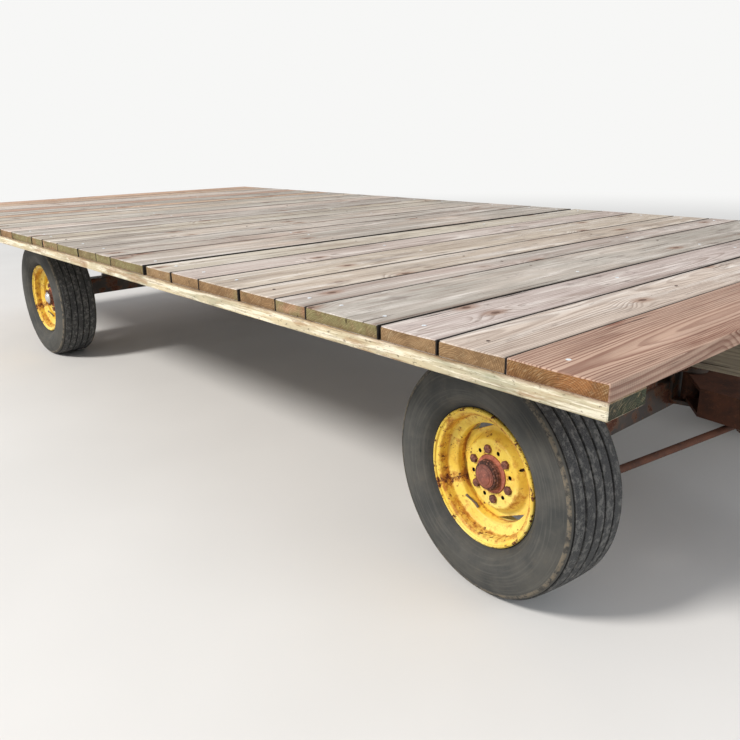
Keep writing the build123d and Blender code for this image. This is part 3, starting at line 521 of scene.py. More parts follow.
class Shape:
    """Points, faces and per-point values gathered for one mesh."""

    def __init__(self):
        self.points = []
        self.faces = []
        self.slots = []
        self.values = {}

    def point(self, place, **values):
        self.points.append(tuple(place))
        for name, value in values.items():
            self.values.setdefault(name, []).append(value)
        return len(self.points) - 1

    def face(self, corners, slot=0):
        self.faces.append(tuple(corners))
        self.slots.append(slot)

    def skin(self, rings, capped=True, side_slot=0, end_slot=0):
        """Faces from each ring of points to the next, and over both ends."""
        for ring, following in zip(rings, rings[1:]):
            for i in range(len(ring)):
                self.face((ring[i - 1], ring[i], following[i], following[i - 1]), side_slot)
        if capped:
            self.face(rings[0], end_slot)
            self.face(rings[-1], end_slot)

    def add(self, other, matrix=None):
        start = len(self.points)
        for place in other.points:
            self.points.append(tuple(matrix @ Vector(place)) if matrix else place)
        for name, values in other.values.items():
            self.values.setdefault(name, []).extend(values)
        self.faces.extend(tuple(start + c for c in face) for face in other.faces)
        self.slots.extend(other.slots)
        return self

    def mesh(self, name, materials, crease=SHARP):
        mesh = bpy.data.meshes.new(name)
        mesh.from_pydata(self.points, [], self.faces)
        mesh.polygons.foreach_set("material_index", self.slots)
        for key, values in self.values.items():
            layer = mesh.attributes.new(key, "FLOAT_VECTOR", "POINT")
            layer.data.foreach_set("vector", [number for value in values for number in value])
        for material in materials:
            mesh.materials.append(material)
        tidy(mesh, crease)
        return mesh


def tidy(mesh, crease):
    """Faces outwards, smooth shading, and sharp edges where the surface turns by more than crease degrees."""
    work = bmesh.new()
    work.from_mesh(mesh)
    bmesh.ops.recalc_face_normals(work, faces=work.faces)
    for face in work.faces:
        face.smooth = True
    for edge in work.edges:
        edge.smooth = len(edge.link_faces) == 2 and edge.calc_face_angle(0.0) < radians(crease)
    work.to_mesh(mesh)
    work.free()


def placed(name, data):
    """A new object in the scene."""
    made = bpy.data.objects.new(name, data)
    bpy.context.scene.collection.objects.link(made)
    return made


def piece(name, mesh, body, slot, *nodes, matrix=None):
    """An object that moves with a body, in place of the nodes that are named."""
    made = placed(name, mesh)
    if matrix is not None:
        made.matrix_world = matrix
    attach(made, body)
    if nodes:
        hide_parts(*nodes)


def at(x, y, z, angle=0.0, axis="Z"):
    return Matrix.Translation((x, y, z)) @ Matrix.Rotation(angle, 4, axis)


def rounded(points, steps):
    """A line through (out, radius, round) points, with an arc of the third size at each inner corner."""
    line = [points[0][:2]]
    for before, (*here, size), after in zip(points, points[1:], points[2:]):
        here = Vector(here)
        a, b = Vector(before[:2]) - here, Vector(after[:2]) - here
        if size == 0:
            line.append(tuple(here))
            continue
        reach = min(size / tan(a.angle(b) / 2), a.length * 0.48, b.length * 0.48)
        start, end = here + a.normalized() * reach, here + b.normalized() * reach
        for i in range(steps + 1):
            t = i / steps
            line.append(tuple(start * (1 - t) ** 2 + here * 2 * t * (1 - t) + end * t**2))
    line.append(points[-1][:2])
    return line


def eased(points, steps):
    """A smooth line through the points."""
    line = []
    padded = [Vector(p) for p in (points[0], *points, points[-1])]
    for a, b, c, d in zip(padded, padded[1:], padded[2:], padded[3:]):
        for i in range(steps):
            t = i / steps
            bow = (2 * a - 5 * b + 4 * c - d) * t**2 + (3 * b - a - 3 * c + d) * t**3
            line.append(tuple(0.5 * (2 * b + (c - a) * t + bow)))
    line.append(tuple(points[-1]))
    return line


def lathe(profile, segments, closed=False):
    """Turns (out, radius) points, in millimetres, about the Y axis; out is along +Y."""
    shape = Shape()
    angles = [2 * pi * i / segments for i in range(segments)]
    rings = []
    for out, radius in profile:
        out, radius = out * MM, radius * MM
        places = [(radius * sin(a), out, radius * cos(a)) for a in angles]
        rings.append([shape.point(place, wheel=(out, a, radius)) for place, a in zip(places, angles)])
    shape.skin(rings + rings[:1] if closed else rings, not closed)
    return shape


def upright(shape):
    """A turned shape stood along Z, without its values."""
    shape.values = {}
    return Shape().add(shape, at(0, 0, 0, pi / 2, "X"))


def disc_head(radius, rise, sides=12):
    """A low domed head that stands on z = 0, in millimetres."""
    levels = ((-0.3, 1.0), (0.45, 1.0), (0.85, 0.8), (1.0, 0.45))
    return upright(lathe([(rise * level, radius * share) for level, share in levels], sides))


def hex_head(across, height):
    """A hexagon head that stands on y = 0 along +Y, in millimetres, with well rounded corners."""
    reach = across / 2 / cos(pi / 6)
    levels = ((-0.3, 1.0), (height * 0.58, 1.0), (height * 0.82, 0.93), (height, 0.66))
    return lathe([(out, reach * share) for out, share in levels], 6)


def cord(points, radii, sides=6):
    """A round bar through the points, in metres, with a radius at each of them and closed ends."""
    shape = Shape()
    angles = [2 * pi * k / sides for k in range(sides)]
    rings = []
    for i, (here, radius) in enumerate(zip(points, radii)):
        before, after = points[max(i - 1, 0)], points[min(i + 1, len(points) - 1)]
        turn = (Vector(after) - Vector(before)).to_track_quat("Z", "Y")
        spokes = [Vector((radius * cos(a), radius * sin(a), 0.0)) for a in angles]
        rings.append([shape.point(Vector(here) + turn @ spoke) for spoke in spokes])
    shape.skin(rings)
    return shape


def rod(stations, sides=6):
    """A round bar along Z through (height, radius) stations in millimetres."""
    heights, radii = zip(*stations)
    return cord([(0, 0, height * MM) for height in heights], [radius * MM for radius in radii], sides)


# Boards

ROUND_EDGE = 0.003
STATION_STEP = 0.09
LOG_LENGTH = 40
WAVES = (1.7, 5.1, 1.3)


def board(shape, low, high, axis, seed, mood, warp, cup, bare_sides=(True, True), cut_back=(0.0, 0.0),
          side_slot=0):
    """A sawn board between two corners with its length along axis (0 or 1), softly warped."""
    chance = Random(seed)
    start, end = low[axis] + cut_back[0], high[axis] - cut_back[1]
    length = end - start
    side = 1 - axis
    width, depth = high[side] - low[side], high[2] - low[2]
    pith = (chance.uniform(-0.40, 0.40) * width, chance.uniform(0.02, 0.10))
    shift = chance.uniform(0, LOG_LENGTH)
    open_low, open_high = map(float, bare_sides)
    steps = max(6, ceil(length / STATION_STEP))
    phases = [chance.uniform(0, 2 * pi) for _ in WAVES]
    inset = ROUND_EDGE * 0.8
    stations = [(0.0, inset), (inset, 0.0)]
    stations += [(length * i / steps, 0.0) for i in range(1, steps)]
    stations += [(length - inset, 0.0), (length, inset)]
    rings = []
    for run, shrink in stations:
        ring = []
        slow, quick, lift = (sin(run * wave + phase) for wave, phase in zip(WAVES, phases))
        sway, rise = warp * (slow * 0.5 + quick * 0.4), -abs(warp * 0.7 * lift)
        for a, b in corner_loop(width, depth, ROUND_EDGE):
            a_in = width / 2 + (a - width / 2) * (1 - 2 * shrink / width)
            b_in = depth / 2 + (b - depth / 2) * (1 - 2 * shrink / depth)
            hollow = cup * ((a / width * 2 - 1) ** 2 - 1) * (b / depth)
            place = [0.0, 0.0, low[2] + b_in + hollow + rise * (b / depth)]
            place[axis] = start + run
            place[side] = min(max(low[side] + a_in + sway * 0.6, low[side]), high[side])
            log = (run + shift, a - width / 2 - pith[0], b - depth / 2 + pith[1])
            edges = (a + open_low, width - a + open_high, depth - b)
            ring.append(shape.point(place, wood=log, mood=mood, edges=edges))
        rings.append(ring)
    shape.skin(rings, True, side_slot, 1)


def corner_loop(width, depth, radius):
    """A closed outline of a board's section with rounded corners and extra points along the broad faces."""
    loop = []
    for x, z, start in ((0, 0, pi), (width, 0, 1.5 * pi), (width, depth, 0.0), (0, depth, 0.5 * pi)):
        middle = (radius if x == 0 else x - radius, radius if z == 0 else z - radius)
        for angle in (start + (pi / 2) * i / 3 for i in range(4)):
            loop.append((middle[0] + radius * cos(angle), middle[1] + radius * sin(angle)))
        if (x, z) in ((0, 0), (width, depth)):
            loop.extend((abs(x - width * i / 6), z) for i in range(1, 6))
    return loop


# Deck

FASTENER_IN, WIDE_PLANK = 0.080, 0.26
SCREW_SHARE, SCREW_RISE = 0.62, 0.0014
TIGHT_GAP, NEAR = 0.001, 0.001
PLANK_WARP, PLANK_CUP, CUT_BACK = 0.0014, 0.0012, 0.004
TIMBER_WARP, TIMBER_MOOD = 0.0012, (0.4, 0.2, 0.6)


def plank_boxes(node):
    """Low and high corners of each board in a CAD node, from the front back. A board's faces meet along X."""
    mesh = frame["nodes"][node].data
    faces = [[mesh.vertices[i].co for i in face.vertices] for face in mesh.polygons]
    spans = [[Vector(map(pick, zip(*face))) for pick in (min, max)] for face in faces]
    boards = []
    for low, high in sorted(spans, key=lambda span: (span[0].x, span[1].x)):
        if boards and low.x <= boards[-1][1].x + NEAR:
            before = boards[-1]
            boards[-1] = [Vector(map(min, before[0], low)), Vector(map(max, before[1], high))]
        else:
            boards.append([low, high])
    return boards[::-1]


def deck_planks():
    """Every plank as its own board, each with its own mood: how warm, how grey and how strongly grained."""
    chance = Random(7)
    stocks = {
        "deck_planks_weathered": ([weathered_wood, plank_end], "plank_weathered", 100),
        "deck_planks_fresh": ([faded_wood, fresh_end, fresh_wood], "plank_fresh", 300),
    }
    found = {node: plank_boxes(node) for node in stocks}
    planks = sorted((pair for boxes in found.values() for pair in boxes), key=lambda pair: -pair[1].x)
    first, second, last = planks[0], planks[1], planks[-1]
    for node, (finishes, slot, seed) in stocks.items():
        shape = Shape()
        for i, (low, high) in enumerate(found[node]):
            cut_back = (chance.uniform(0.0, CUT_BACK), chance.uniform(0.0, CUT_BACK))
            mood = (chance.random(), chance.uniform(-0.5, 1.0), chance.random())
            if high == second[1]:
                high = Vector((first[0].x - TIGHT_GAP, high.y, high.z))
            bare_sides = (low in (first[0], last[0]), high.x >= first[0].x - TIGHT_GAP)
            side_slot = 2 if low == first[0] else 0
            board(shape, low, high, 1, seed + i, mood, PLANK_WARP, PLANK_CUP, bare_sides, cut_back, side_slot)
        piece(node + "_boards", shape.mesh(node, finishes), "root", slot, node)
    return planks


def deck_timbers():
    for node, material, slot, seed in (
        ("edge_rail_right", rail_wood, "rail_wood", 501),
        ("edge_rail_left", rail_wood, "rail_wood", 502),
        ("sill_right", sill_wood, "sill_wood", 503),
        ("sill_left", sill_wood, "sill_wood", 504),
    ):
        shape = Shape()
        board(shape, *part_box(node), 0, seed, TIMBER_MOOD, TIMBER_WARP, 0.0)
        piece(node + "_timber", shape.mesh(node, [material, rail_end]), "root", slot, node)


def deck_fasteners(planks):
    """Bright screws and older dark nails over each rail and sill: one in a plank, two in a wide one."""
    chance = Random(16)
    screws, nails = Shape(), Shape()
    _, half, top = planks[0][1]
    sill_y = (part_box("sill_left")[0].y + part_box("sill_left")[1].y) / 2
    screw, nail = disc_head(6.0, 1.4), disc_head(5.0, 0.9)
    for low, high in planks:
        width = high.x - low.x
        for line in (FASTENER_IN - half, -sill_y, sill_y, half - FASTENER_IN):
            for share in (0.17, 0.82) if width > WIDE_PLANK else (0.41,):
                x = low.x + width * (share + chance.uniform(-0.03, 0.03))
                y = line + chance.uniform(-0.006, 0.006)
                heads, head = (screws, screw) if chance.random() < SCREW_SHARE else (nails, nail)
                heads.add(head, Matrix.Translation((x, y, top - SCREW_RISE)))
    piece("deck_screws", screws.mesh("deck_screws", [zinc_finish]), "root", "bare_steel")
    piece("deck_nails", nails.mesh("deck_nails", [nail_finish]), "root", "bare_steel")


# Wheels in millimetres, out from the wheel's middle plane and away from its axle

HALF_RIM, RIM_WALL = 76, 4.5
FLANGE, BEAD, WELL = 209.5, 190, 152
DISC_OUT, DISC_THICK = 38, 8
DISC_FLAT, DISC_DISH, DISC_SKIRT = 106, 33, 124
FLATS, FLAT_TURN, FLAT_REACH = 4, radians(27.0), 136
LUGS, LUG_TURN, LUG_RING = 6, radians(11.0), 76.2
LUG_HEX, LUG_RISE = 24, 10
VENT_RADIUS = 6.6
SLOPE_HOLES, SLOPE_TURN, SLOPE_RING, SLOPE_RADIUS = 3, radians(54.0), 115, 4.5
HUB_BACK, HUB_BORE, HUB_BARREL = -75, 22.5, 52
HUB_FLANGE, HUB_FLANGE_THICK = 96, 12
HUB_RING, HUB_RING_RISE = 58.5, 4
NOSE, NOSE_RISE = 45, 25
CAP, CAP_BRIM, CAP_HEIGHT = 33, 36, 16
SEAT_PLAY = 0.3
TREAD_RADIUS, CROWN_FALL, GROOVE_DEPTH, GROOVE_WIDTH = 362, 4.5, 9, 6.5
RIB_EDGES = [(89, 58.5), (52, 21)]
CENTRE_RIB = 14.5
# Out and radius up the tyre's wall, and over the step of its shoulder
WALL = [(77, FLANGE + 1.5), (84, 217), (100, 231), (112.5, 249), (117.6, 270), (117.2, 290), (113.5, 309),
        (108.6, 325), (104.5, 336)]
SHOULDER = [(103.6, 339.5), (105.2, 340.6), (104.4, 344), (101.5, 348.5), (97.5, 352.6), (94.5, 353.6),
            (92.6, 351.0), (90.4, 351.0)]
# Degrees round the wheel, out, radius and half the thickness along a valve's stem and its cap
VALVE = [(156, 27, 153, 4.6), (152, 29.5, 146, 4.2), (147, 35, 144, 3.4), (141, 41.5, 143, 3.4),
         (140.9, 41.6, 143, 4.3), (137.2, 45.6, 143, 4.3), (137.0, 45.8, 143, 2.8)]


def crown(out):
    """The tread's radius, which falls a little towards the shoulders."""
    return TREAD_RADIUS - CROWN_FALL * (out / 100) ** 2


def tread_half():
    """From the shoulder to the middle: two ribs and the grooves inside them."""
    line = []
    for outer, inner in RIB_EDGES:
        top, foot = crown(outer), crown(inner)
        line += [(outer, top - 1.6), (outer - 1.3, top), ((outer + inner) / 2, top), (inner + 1.2, foot)]
        line += [(inner, foot - 1.2), (inner - 0.6, foot - GROOVE_DEPTH)]
        line += [(inner - GROOVE_WIDTH + 0.6, foot - GROOVE_DEPTH)]
    return line + [(CENTRE_RIB, crown(0) - 1.2), (CENTRE_RIB - 1.2, crown(0)), (4, crown(0))]


def tyre_shape():
    """Bead, bulged wall, a square shoulder with a fine step, then the ribs."""
    half = [(HALF_RIM, BEAD + 2)] + eased(WALL, 4) + SHOULDER + tread_half()
    return lathe(half + [(-out, radius) for out, radius in reversed(half)], 160, closed=True)


def rim_shape():
    """The rolled barrel: flanges, bead seats and the drop-centre well, one sheet thick."""
    half, seat, low = HALF_RIM, BEAD - 3, WELL + RIM_WALL
    tyre_side = [(half - 1, FLANGE - 5, 0), (half - 0.5, BEAD, 8), (half - 28, seat, 6), (half - 42, low, 8)]
    tyre_side += [(-8, low, 8), (-24, seat, 6), (-half + 0.5, BEAD, 8), (-half + 1, FLANGE - 5, 0)]
    lip = [(half + 1, FLANGE, 2), (half + 9, FLANGE, 5), (half + 12.5, FLANGE - 6, 3)]
    lip += [(half + 10, FLANGE - 9, 2), (half + 5, FLANGE - 9, 4)]
    inner = [(half + 3, BEAD - RIM_WALL, 7), (half - 29, seat - RIM_WALL, 7), (half - 43, WELL, 8)]
    inner += [(-8, WELL, 9), (-23, seat - RIM_WALL, 8), (-half - 4, BEAD - RIM_WALL, 8)]
    lip_back = [(-out, radius, bend) for out, radius, bend in reversed(lip)]
    line = rounded([tyre_side[0], *lip, *inner, *lip_back, tyre_side[-1]], 5)
    return lathe(line + rounded(tyre_side, 4)[-2:0:-1], 144, closed=True)


def disc_shape():
    """The pressed disc: flat middle, rolled shoulder and flats that leave four slots at the rim."""
    face = [(DISC_OUT, HUB_RING + 1.2, 0), (DISC_OUT, 80, 0), (DISC_OUT, DISC_FLAT, 10)]
    face += [(DISC_OUT - DISC_DISH, DISC_SKIRT, 12), (DISC_OUT - DISC_DISH, WELL - 0.3, 0)]
    front = rounded(face, 5)
    back = [(out - DISC_THICK, radius) for out, radius in reversed(front)]
    shape = lathe(front + back, 180, closed=True)
    for i, (x, out, z) in enumerate(shape.points):
        turned = atan2(x, z) - FLAT_TURN + pi / 2
        nearest = max(cos(turned - 2 * pi * k / FLATS) for k in range(FLATS))
        share = min(1.0, FLAT_REACH * MM / nearest / hypot(x, z))
        shape.points[i] = (x * share, out, z * share)
    return shape


def drilled(mesh, places, radius, near, far):
    """Cuts round holes along Y at the places, from near out to far, in millimetres, with walls painted near
    black as shade.
    """
    cutter = Shape()
    for place in places:
        cutter.add(lathe([(near, radius), (far, radius)], 16), place)
    body, tool = placed("drill_body", mesh), placed("drill_tool", cutter.mesh("drill_tool", [hole_shade]))
    cut = body.modifiers.new("holes", "BOOLEAN")
    cut.operation = "DIFFERENCE"
    cut.object = tool
    cut.solver = "EXACT"
    cut.material_mode = "TRANSFER"
    bpy.context.view_layer.update()
    result = bpy.data.meshes.new_from_object(body.evaluated_get(bpy.context.evaluated_depsgraph_get()))
    for made in (body, tool):
        bpy.data.objects.remove(made)
    tidy(result, SHARP)
    return result


def ring_places(radius, count, start):
    """Moves to count places on a ring about the Y axis. Its radius is in millimetres."""
    angles = [start + 2 * pi * i / count for i in range(count)]
    return [Matrix.Translation((radius * MM * sin(a), 0.0, radius * MM * cos(a))) for a in angles]


def hub_shape():
    """The cast hub: barrel, bolted flange, a low ring on the disc, a turned nose and the lug bolts' heads."""
    front = DISC_OUT - DISC_THICK - SEAT_PLAY
    back, ring, nose = front - HUB_FLANGE_THICK, DISC_OUT + HUB_RING_RISE, DISC_OUT + NOSE_RISE
    line = [(HUB_BACK, HUB_BORE, 0), (HUB_BACK, HUB_BARREL - 3, 3), (HUB_BACK + 15, HUB_BARREL, 4)]
    line += [(back - 18, HUB_BARREL, 10), (back, 70, 8), (back, HUB_FLANGE - 1, 2), (front, HUB_FLANGE, 2)]
    line += [(front, HUB_RING, 1), (ring - 0.5, HUB_RING, 2), (ring, 52, 2), (ring + 1.5, NOSE + 3, 2.5)]
    line += [(nose - 7, NOSE + 0.5, 3), (nose - 6, NOSE - 2, 1), (nose, NOSE - 3, 2), (nose, HUB_BORE, 0)]
    shape = lathe(rounded(line, 4), 72, closed=True)
    chance = Random(5)
    for place in ring_places(LUG_RING, LUGS, LUG_TURN):
        stand = at(0.0, (DISC_OUT + SEAT_PLAY) * MM, 0.0, chance.uniform(0, pi / 3), "Y")
        shape.add(hex_head(LUG_HEX, LUG_RISE), place @ stand)
    return shape


def cap_shape():
    """The pressed dust cap: a rolled brim, a step and a low dome."""
    nose = DISC_OUT + NOSE_RISE
    top = nose + CAP_HEIGHT
    line = [(nose, 0, 0), (nose, CAP_BRIM - 0.6, 1), (nose + 3, CAP_BRIM - 0.3, 1.5), (nose + 3.4, CAP, 1)]
    line += [(nose + 6, CAP - 1, 2), (nose + 6.6, 28, 1.5), (nose + 10, 26, 4), (top - 1, 12, 9)]
    line += [(top - 0.4, 0, 0)]
    return lathe([(out, max(radius, 0.2)) for out, radius in rounded(line, 5)], 48)


def valve_shape():
    """A bent stem that leaves the well's wall and lies along it, with a cap on its end."""
    points = [(r * MM * sin(radians(a)), out * MM, r * MM * cos(radians(a))) for a, out, r, _ in VALVE]
    return cord(points, [thick * MM for *_, thick in VALVE], 10)


def joined(name, meshes, materials):
    """One mesh from several that share their material slots, each keeping its own attributes."""
    work = bmesh.new()
    for mesh in meshes:
        work.from_mesh(mesh)
    made = bpy.data.meshes.new(name)
    work.to_mesh(made)
    work.free()
    for material in materials:
        made.materials.append(material)
    return made


def wheels():
    tyre = tyre_shape().mesh("tyre", [tyre_finish], TYRE_SHARP)
    disc = disc_shape().mesh("disc", [rim_finish])
    hub = hub_shape().mesh("hub", [hub_rust])
    vents = ring_places(LUG_RING, LUGS, LUG_TURN + pi / LUGS)
    slope = ring_places(SLOPE_RING, SLOPE_HOLES, SLOPE_TURN)
    ahead = DISC_OUT + DISC_THICK
    disc = drilled(disc, vents, VENT_RADIUS, DISC_OUT - 2 * DISC_THICK, ahead)
    disc = drilled(disc, slope, SLOPE_RADIUS, DISC_OUT - 2 * DISC_DISH, ahead)
    hub = drilled(hub, vents, VENT_RADIUS, DISC_OUT - DISC_THICK - HUB_FLANGE_THICK / 2, ahead)
    rim = joined("rim_and_disc", [rim_shape().mesh("rim", [rim_finish]), disc], [rim_finish, hole_shade])
    finishes = {"front": cap_rust, "rear": cap_bright}
    caps = {end: cap_shape().mesh("cap_" + end, [finish]) for end, finish in finishes.items()}
    valve = valve_shape().mesh("valve", [pin_steel])
    for joint in frame["joints"]:
        if not joint["name"].startswith("wheel_spin_"):
            continue
        place = joint["name"].removeprefix("wheel_spin_")
        end, side = place.split("_")
        outward = Vector(joint["axis"]) * (1 if side == "left" else -1)
        spot = at(*joint["pos_m"], atan2(-outward.x, outward.y))
        for name, mesh, slot, *nodes in (
            (f"tyre_{place}_rubber", tyre, "tyre_rubber", f"tyre_{place}"),
            (f"rim_{place}_pressed", rim, "rim_paint", f"rim_{place}"),
            (f"hub_{place}_cast", hub, "hub_iron", f"hub_{place}"),
            (f"cap_{place}_dome", caps[end], "cap_steel", f"grease_cap_{place}"),
            (f"valve_{place}", valve, "bare_steel"),
        ):
            piece(name, mesh, joint["child"], slot, *nodes, matrix=spot)


# Running gear keeps its solids and takes its finishes

GEAR_FINISHES = [
    (gear_dark, ["front_bolster", "rear_bolster", "front_bolster_posts", "rear_bolster_posts"]),
    (gear_dark, ["bolster_stakes", "front_axle", "rear_axle", "reach_front", "reach_rear", "front_hounds"]),
    (gear_dark, ["rear_hounds", "steering_mount", "knuckle_left", "knuckle_right"]),
    (gear_dark, ["tongue_yoke", "tongue_tube", "hitch_clevis"]),
    (gear_rust, ["steering_head", "tie_rod_left", "tie_rod_right"]),
    (pin_steel, ["kingpins", "steering_pin", "tongue_hinge_pin"]),
]


def running_gear():
    for material, nodes in GEAR_FINISHES:
        for node in nodes:
            materials = frame["nodes"][node].data.materials
            if materials:
                materials[0] = material
            else:
                materials.append(material)


# Small fittings of the running gear where its CAD source has them, in metres

WELD, RIPPLE = 3.2 * MM, 5 * MM
AXLE_HALF, AXLE_LOW, AXLE_TOP = 0.050, 0.350, 0.450
POST_Y, POST_FOOT, POST_DEPTH = 0.220, 0.085, 0.042
HOUND_RISE, HOUND_BOLTS = 0.040, (0.022, 0.078)
STAKE_FACE, STAKE_BOLTS = 0.487, (0.700, 0.760)
MOUNT_HALF, MOUNT_LOW = 0.060, 0.371
PLATE_AT, PLATE_GAP = 0.7745, 0.009
BOSS_AT, BOSS_HEIGHT, BOSS_ROUND = 0.7925, 0.362, 0.036
REACH_PIN_IN, REACH_PIN_HEIGHT = 0.060, 0.457
PIVOT_TOP, PIVOT_FOOT = 0.522, 0.366
KINGPIN_TOP, KINGPIN_FOOT, KINGPIN_AT = 0.5083, 0.2975, 0.7315
SLEEVE, EAR_START, EARS = 0.038, 0.043, (0.328, 0.350)
HEAD_WALL, HEAD_END, HEAD_HALF, HEAD_PLATES = 0.130, 0.260, 0.144, (0.403, 0.479)
STUD_AHEAD, STUD_OUT, ARM_TOP, ARM_FOOT = 0.208, 0.025, 0.381, 0.351
HINGE_END = (0.310, -0.161, 0.441)
TONGUE_DROP = radians(12.2088)
YOKE_RUN, STRAP_RUN = (0.475, 0.636), (1.600, 1.738)
# Axle, way to the other axle, hound's place on it, hound's reach, seat height, half the reach tube
AXLES = [
    ("front_axle", -1, 0.380, 0.700, 0.468, 0.032),
    ("rear_axle", 1, 0.560, 1.150, 0.462, 0.038),
]
# Millimetres: a bolt head's width and height, and a stud's nut with half the stud's thickness
BOLT, BOLT_HEAD = 19, 8
STUD_NUT = (31, 15.3, 8)


def ripples(points):
    return cord(points, [WELD * (1.0 if i % 2 else 0.74) for i in range(len(points))])


def bead(*places):
    """A rippled weld bead along one axis. Of its places along X, Y and Z, one is a pair of ends."""
    start, end = (Vector([p[i] if isinstance(p, tuple) else p for p in places]) for i in (0, 1))
    count = max(2, 2 * round((end - start).length / RIPPLE))
    return ripples([start.lerp(end, i / count) for i in range(count + 1)])


def arc_bead(radius, start=0.0, sweep=2 * pi):
    """A rippled weld bead on an arc about the Z axis."""
    count = 2 * round(radius * sweep / RIPPLE)
    angles = [start + sweep * i / count for i in range(count + 1)]
    return ripples([Vector((radius * cos(a), radius * sin(a), 0.0)) for a in angles])


def nut(across, height, stud=0.0):
    """A hexagon that stands on z = 0, in millimetres, with a stud's end above it."""
    shape = upright(hex_head(across, height))
    if stud:
        shape.add(rod([(height / 2, stud), (height + 6, stud), (height + 7, stud * 0.8)], 12))
    return shape


def bolt():
    """A hexagon head on a washer that stands on z = 0."""
    return disc_head(BOLT * 0.72, 2.5, 20).add(nut(BOLT, BOLT_HEAD), at(0, 0, 2 * MM))


def cotter(reach):
    """A split pin along Z: a straight leg, an eye in the YZ plane and two bent tails."""
    thick, bow, tail = 1.8 * MM, 4 * MM, Vector((0, 0, -reach))
    eye = [(bow * cos(pi * i / 6), bow * sin(pi * i / 6), 0.0) for i in range(13)]
    shape = cord([tail, -tail], [thick, thick])
    shape.add(cord(eye, [thick] * 13), at(0, 0, reach + bow, pi / 2, "Y"))
    for side in (-1, 1):
        shape.add(cord([tail, tail + Vector((0, side * 7 * MM, -3 * MM))], [thick, thick * 0.7]))
    return shape


def grease_fitting():
    return nut(9, 5).add(rod([(0, 2.8), (7, 2.2), (9, 3.4), (11, 3.4), (12.5, 1.4)], 10))


def axle_middle(node):
    low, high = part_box(node)
    return (low.x + high.x) / 2


def axle_fittings(welds, metal):
    """Posts, reach tube, hounds and stakes on both axles."""
    for node, ahead, spread, reach, seat, tube in AXLES:
        x = axle_middle(node)
        end, top = x + ahead * reach, seat + HOUND_RISE
        slope = (spread - tube) / (reach + AXLE_HALF)
        for side in (-1, 1):
            y = side * POST_Y
            for a in (-1, 1):
                welds.add(bead(x + a * POST_DEPTH, (y - POST_FOOT, y + POST_FOOT), AXLE_TOP))
                welds.add(bead((x - POST_DEPTH, x + POST_DEPTH), y + a * POST_FOOT, AXLE_TOP))
            for middle, height in ((x, seat), (end, top)):
                welds.add(bead((middle - AXLE_HALF, middle + AXLE_HALF), side * tube, height))
            for back in HOUND_BOLTS:
                metal.add(bolt(), at(x - ahead * (AXLE_HALF - back), side * (spread - slope * back), top))
            for height in STAKE_BOLTS:
                metal.add(bolt(), at(x, side * STAKE_FACE, height, -side * pi / 2, "X"))


def front_fittings(pivot, kingpin, welds, metal):
    """The steering pin's mount and the kingpins' sleeves on the front axle."""
    x, y = kingpin.x, abs(kingpin.y)
    face = x + AXLE_HALF
    for side in (-1, 1):
        welds.add(bead(face, side * MOUNT_HALF, (MOUNT_LOW, AXLE_TOP - WELD)))
        for height in (AXLE_LOW, AXLE_TOP):
            welds.add(arc_bead(SLEEVE, 0.0 if side < 0 else pi, pi), at(x, side * y, height))
        metal.add(grease_fitting(), at(x, side * y, KINGPIN_TOP))
        metal.add(cotter(0.022), at(x, side * y, KINGPIN_FOOT, pi / 2, "Y"))
    welds.add(bead(face, (-MOUNT_HALF, MOUNT_HALF), MOUNT_LOW))
    metal.add(grease_fitting(), at(pivot.x, 0.0, PIVOT_TOP))
    metal.add(cotter(0.020), at(pivot.x, 0.0, PIVOT_FOOT, pi / 2, "Y"))


def rear_fittings(welds, metal):
    """The rear axle's end plates and the pin that sets the reach's length."""
    x = axle_middle("rear_axle")
    for side in (-1, 1):
        for a in (-1, 1):
            welds.add(bead((x + a * PLATE_GAP, x + a * AXLE_HALF), side * PLATE_AT, AXLE_LOW))
        welds.add(arc_bead(BOSS_ROUND), at(x, side * BOSS_AT, BOSS_HEIGHT, pi / 2, "X"))
    pin_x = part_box("reach_rear")[1].x - REACH_PIN_IN
    metal.add(cotter(0.013), at(pin_x, 0.0, REACH_PIN_HEIGHT, pi / 2, "X") @ at(0, 0, 0, pi / 2))


def knuckle_fittings(side, welds, metal):
    """Welds at the spindle and the arm, and the nut on the arm's stud, with the kingpin at the origin."""
    out = BOSS_AT - KINGPIN_AT
    welds.add(arc_bead(BOSS_ROUND), at(0.0, side * out, BOSS_HEIGHT, pi / 2, "X"))
    for height in EARS:
        welds.add(bead(SLEEVE, (side * EAR_START, side * out), height))
    metal.add(nut(*STUD_NUT), at(STUD_AHEAD, side * STUD_OUT, ARM_TOP))


def head_fittings(welds, metal):
    """Welds inside the steering head, nuts on its studs and the hinge pin's cotter, pivot at the origin."""
    for height in HEAD_PLATES:
        welds.add(bead(HEAD_WALL, (-HEAD_HALF, HEAD_HALF), height))
        welds.add(arc_bead(SLEEVE, -pi / 2, pi), at(0.0, 0.0, height))
        for side in (-1, 1):
            welds.add(bead((HEAD_WALL, HEAD_END), side * HEAD_HALF, height))
    for side in (-1, 1):
        metal.add(nut(*STUD_NUT), at(STUD_AHEAD, side * STUD_OUT, ARM_FOOT, pi, "X"))
    metal.add(cotter(0.0165), at(*HINGE_END, pi / 2))


def tongue_fittings(welds, metal):
    """Welds along the yoke's bars and the clevis straps, hinge at the origin and the tube along X."""
    for face in (-1, 1):
        for side in (-1, 1):
            welds.add(bead(YOKE_RUN, side * 0.032, face * 0.025))
            welds.add(bead(STRAP_RUN, side * 0.030, face * 0.0315))
        welds.add(bead(STRAP_RUN[0], (-0.027, 0.027), face * 0.034))


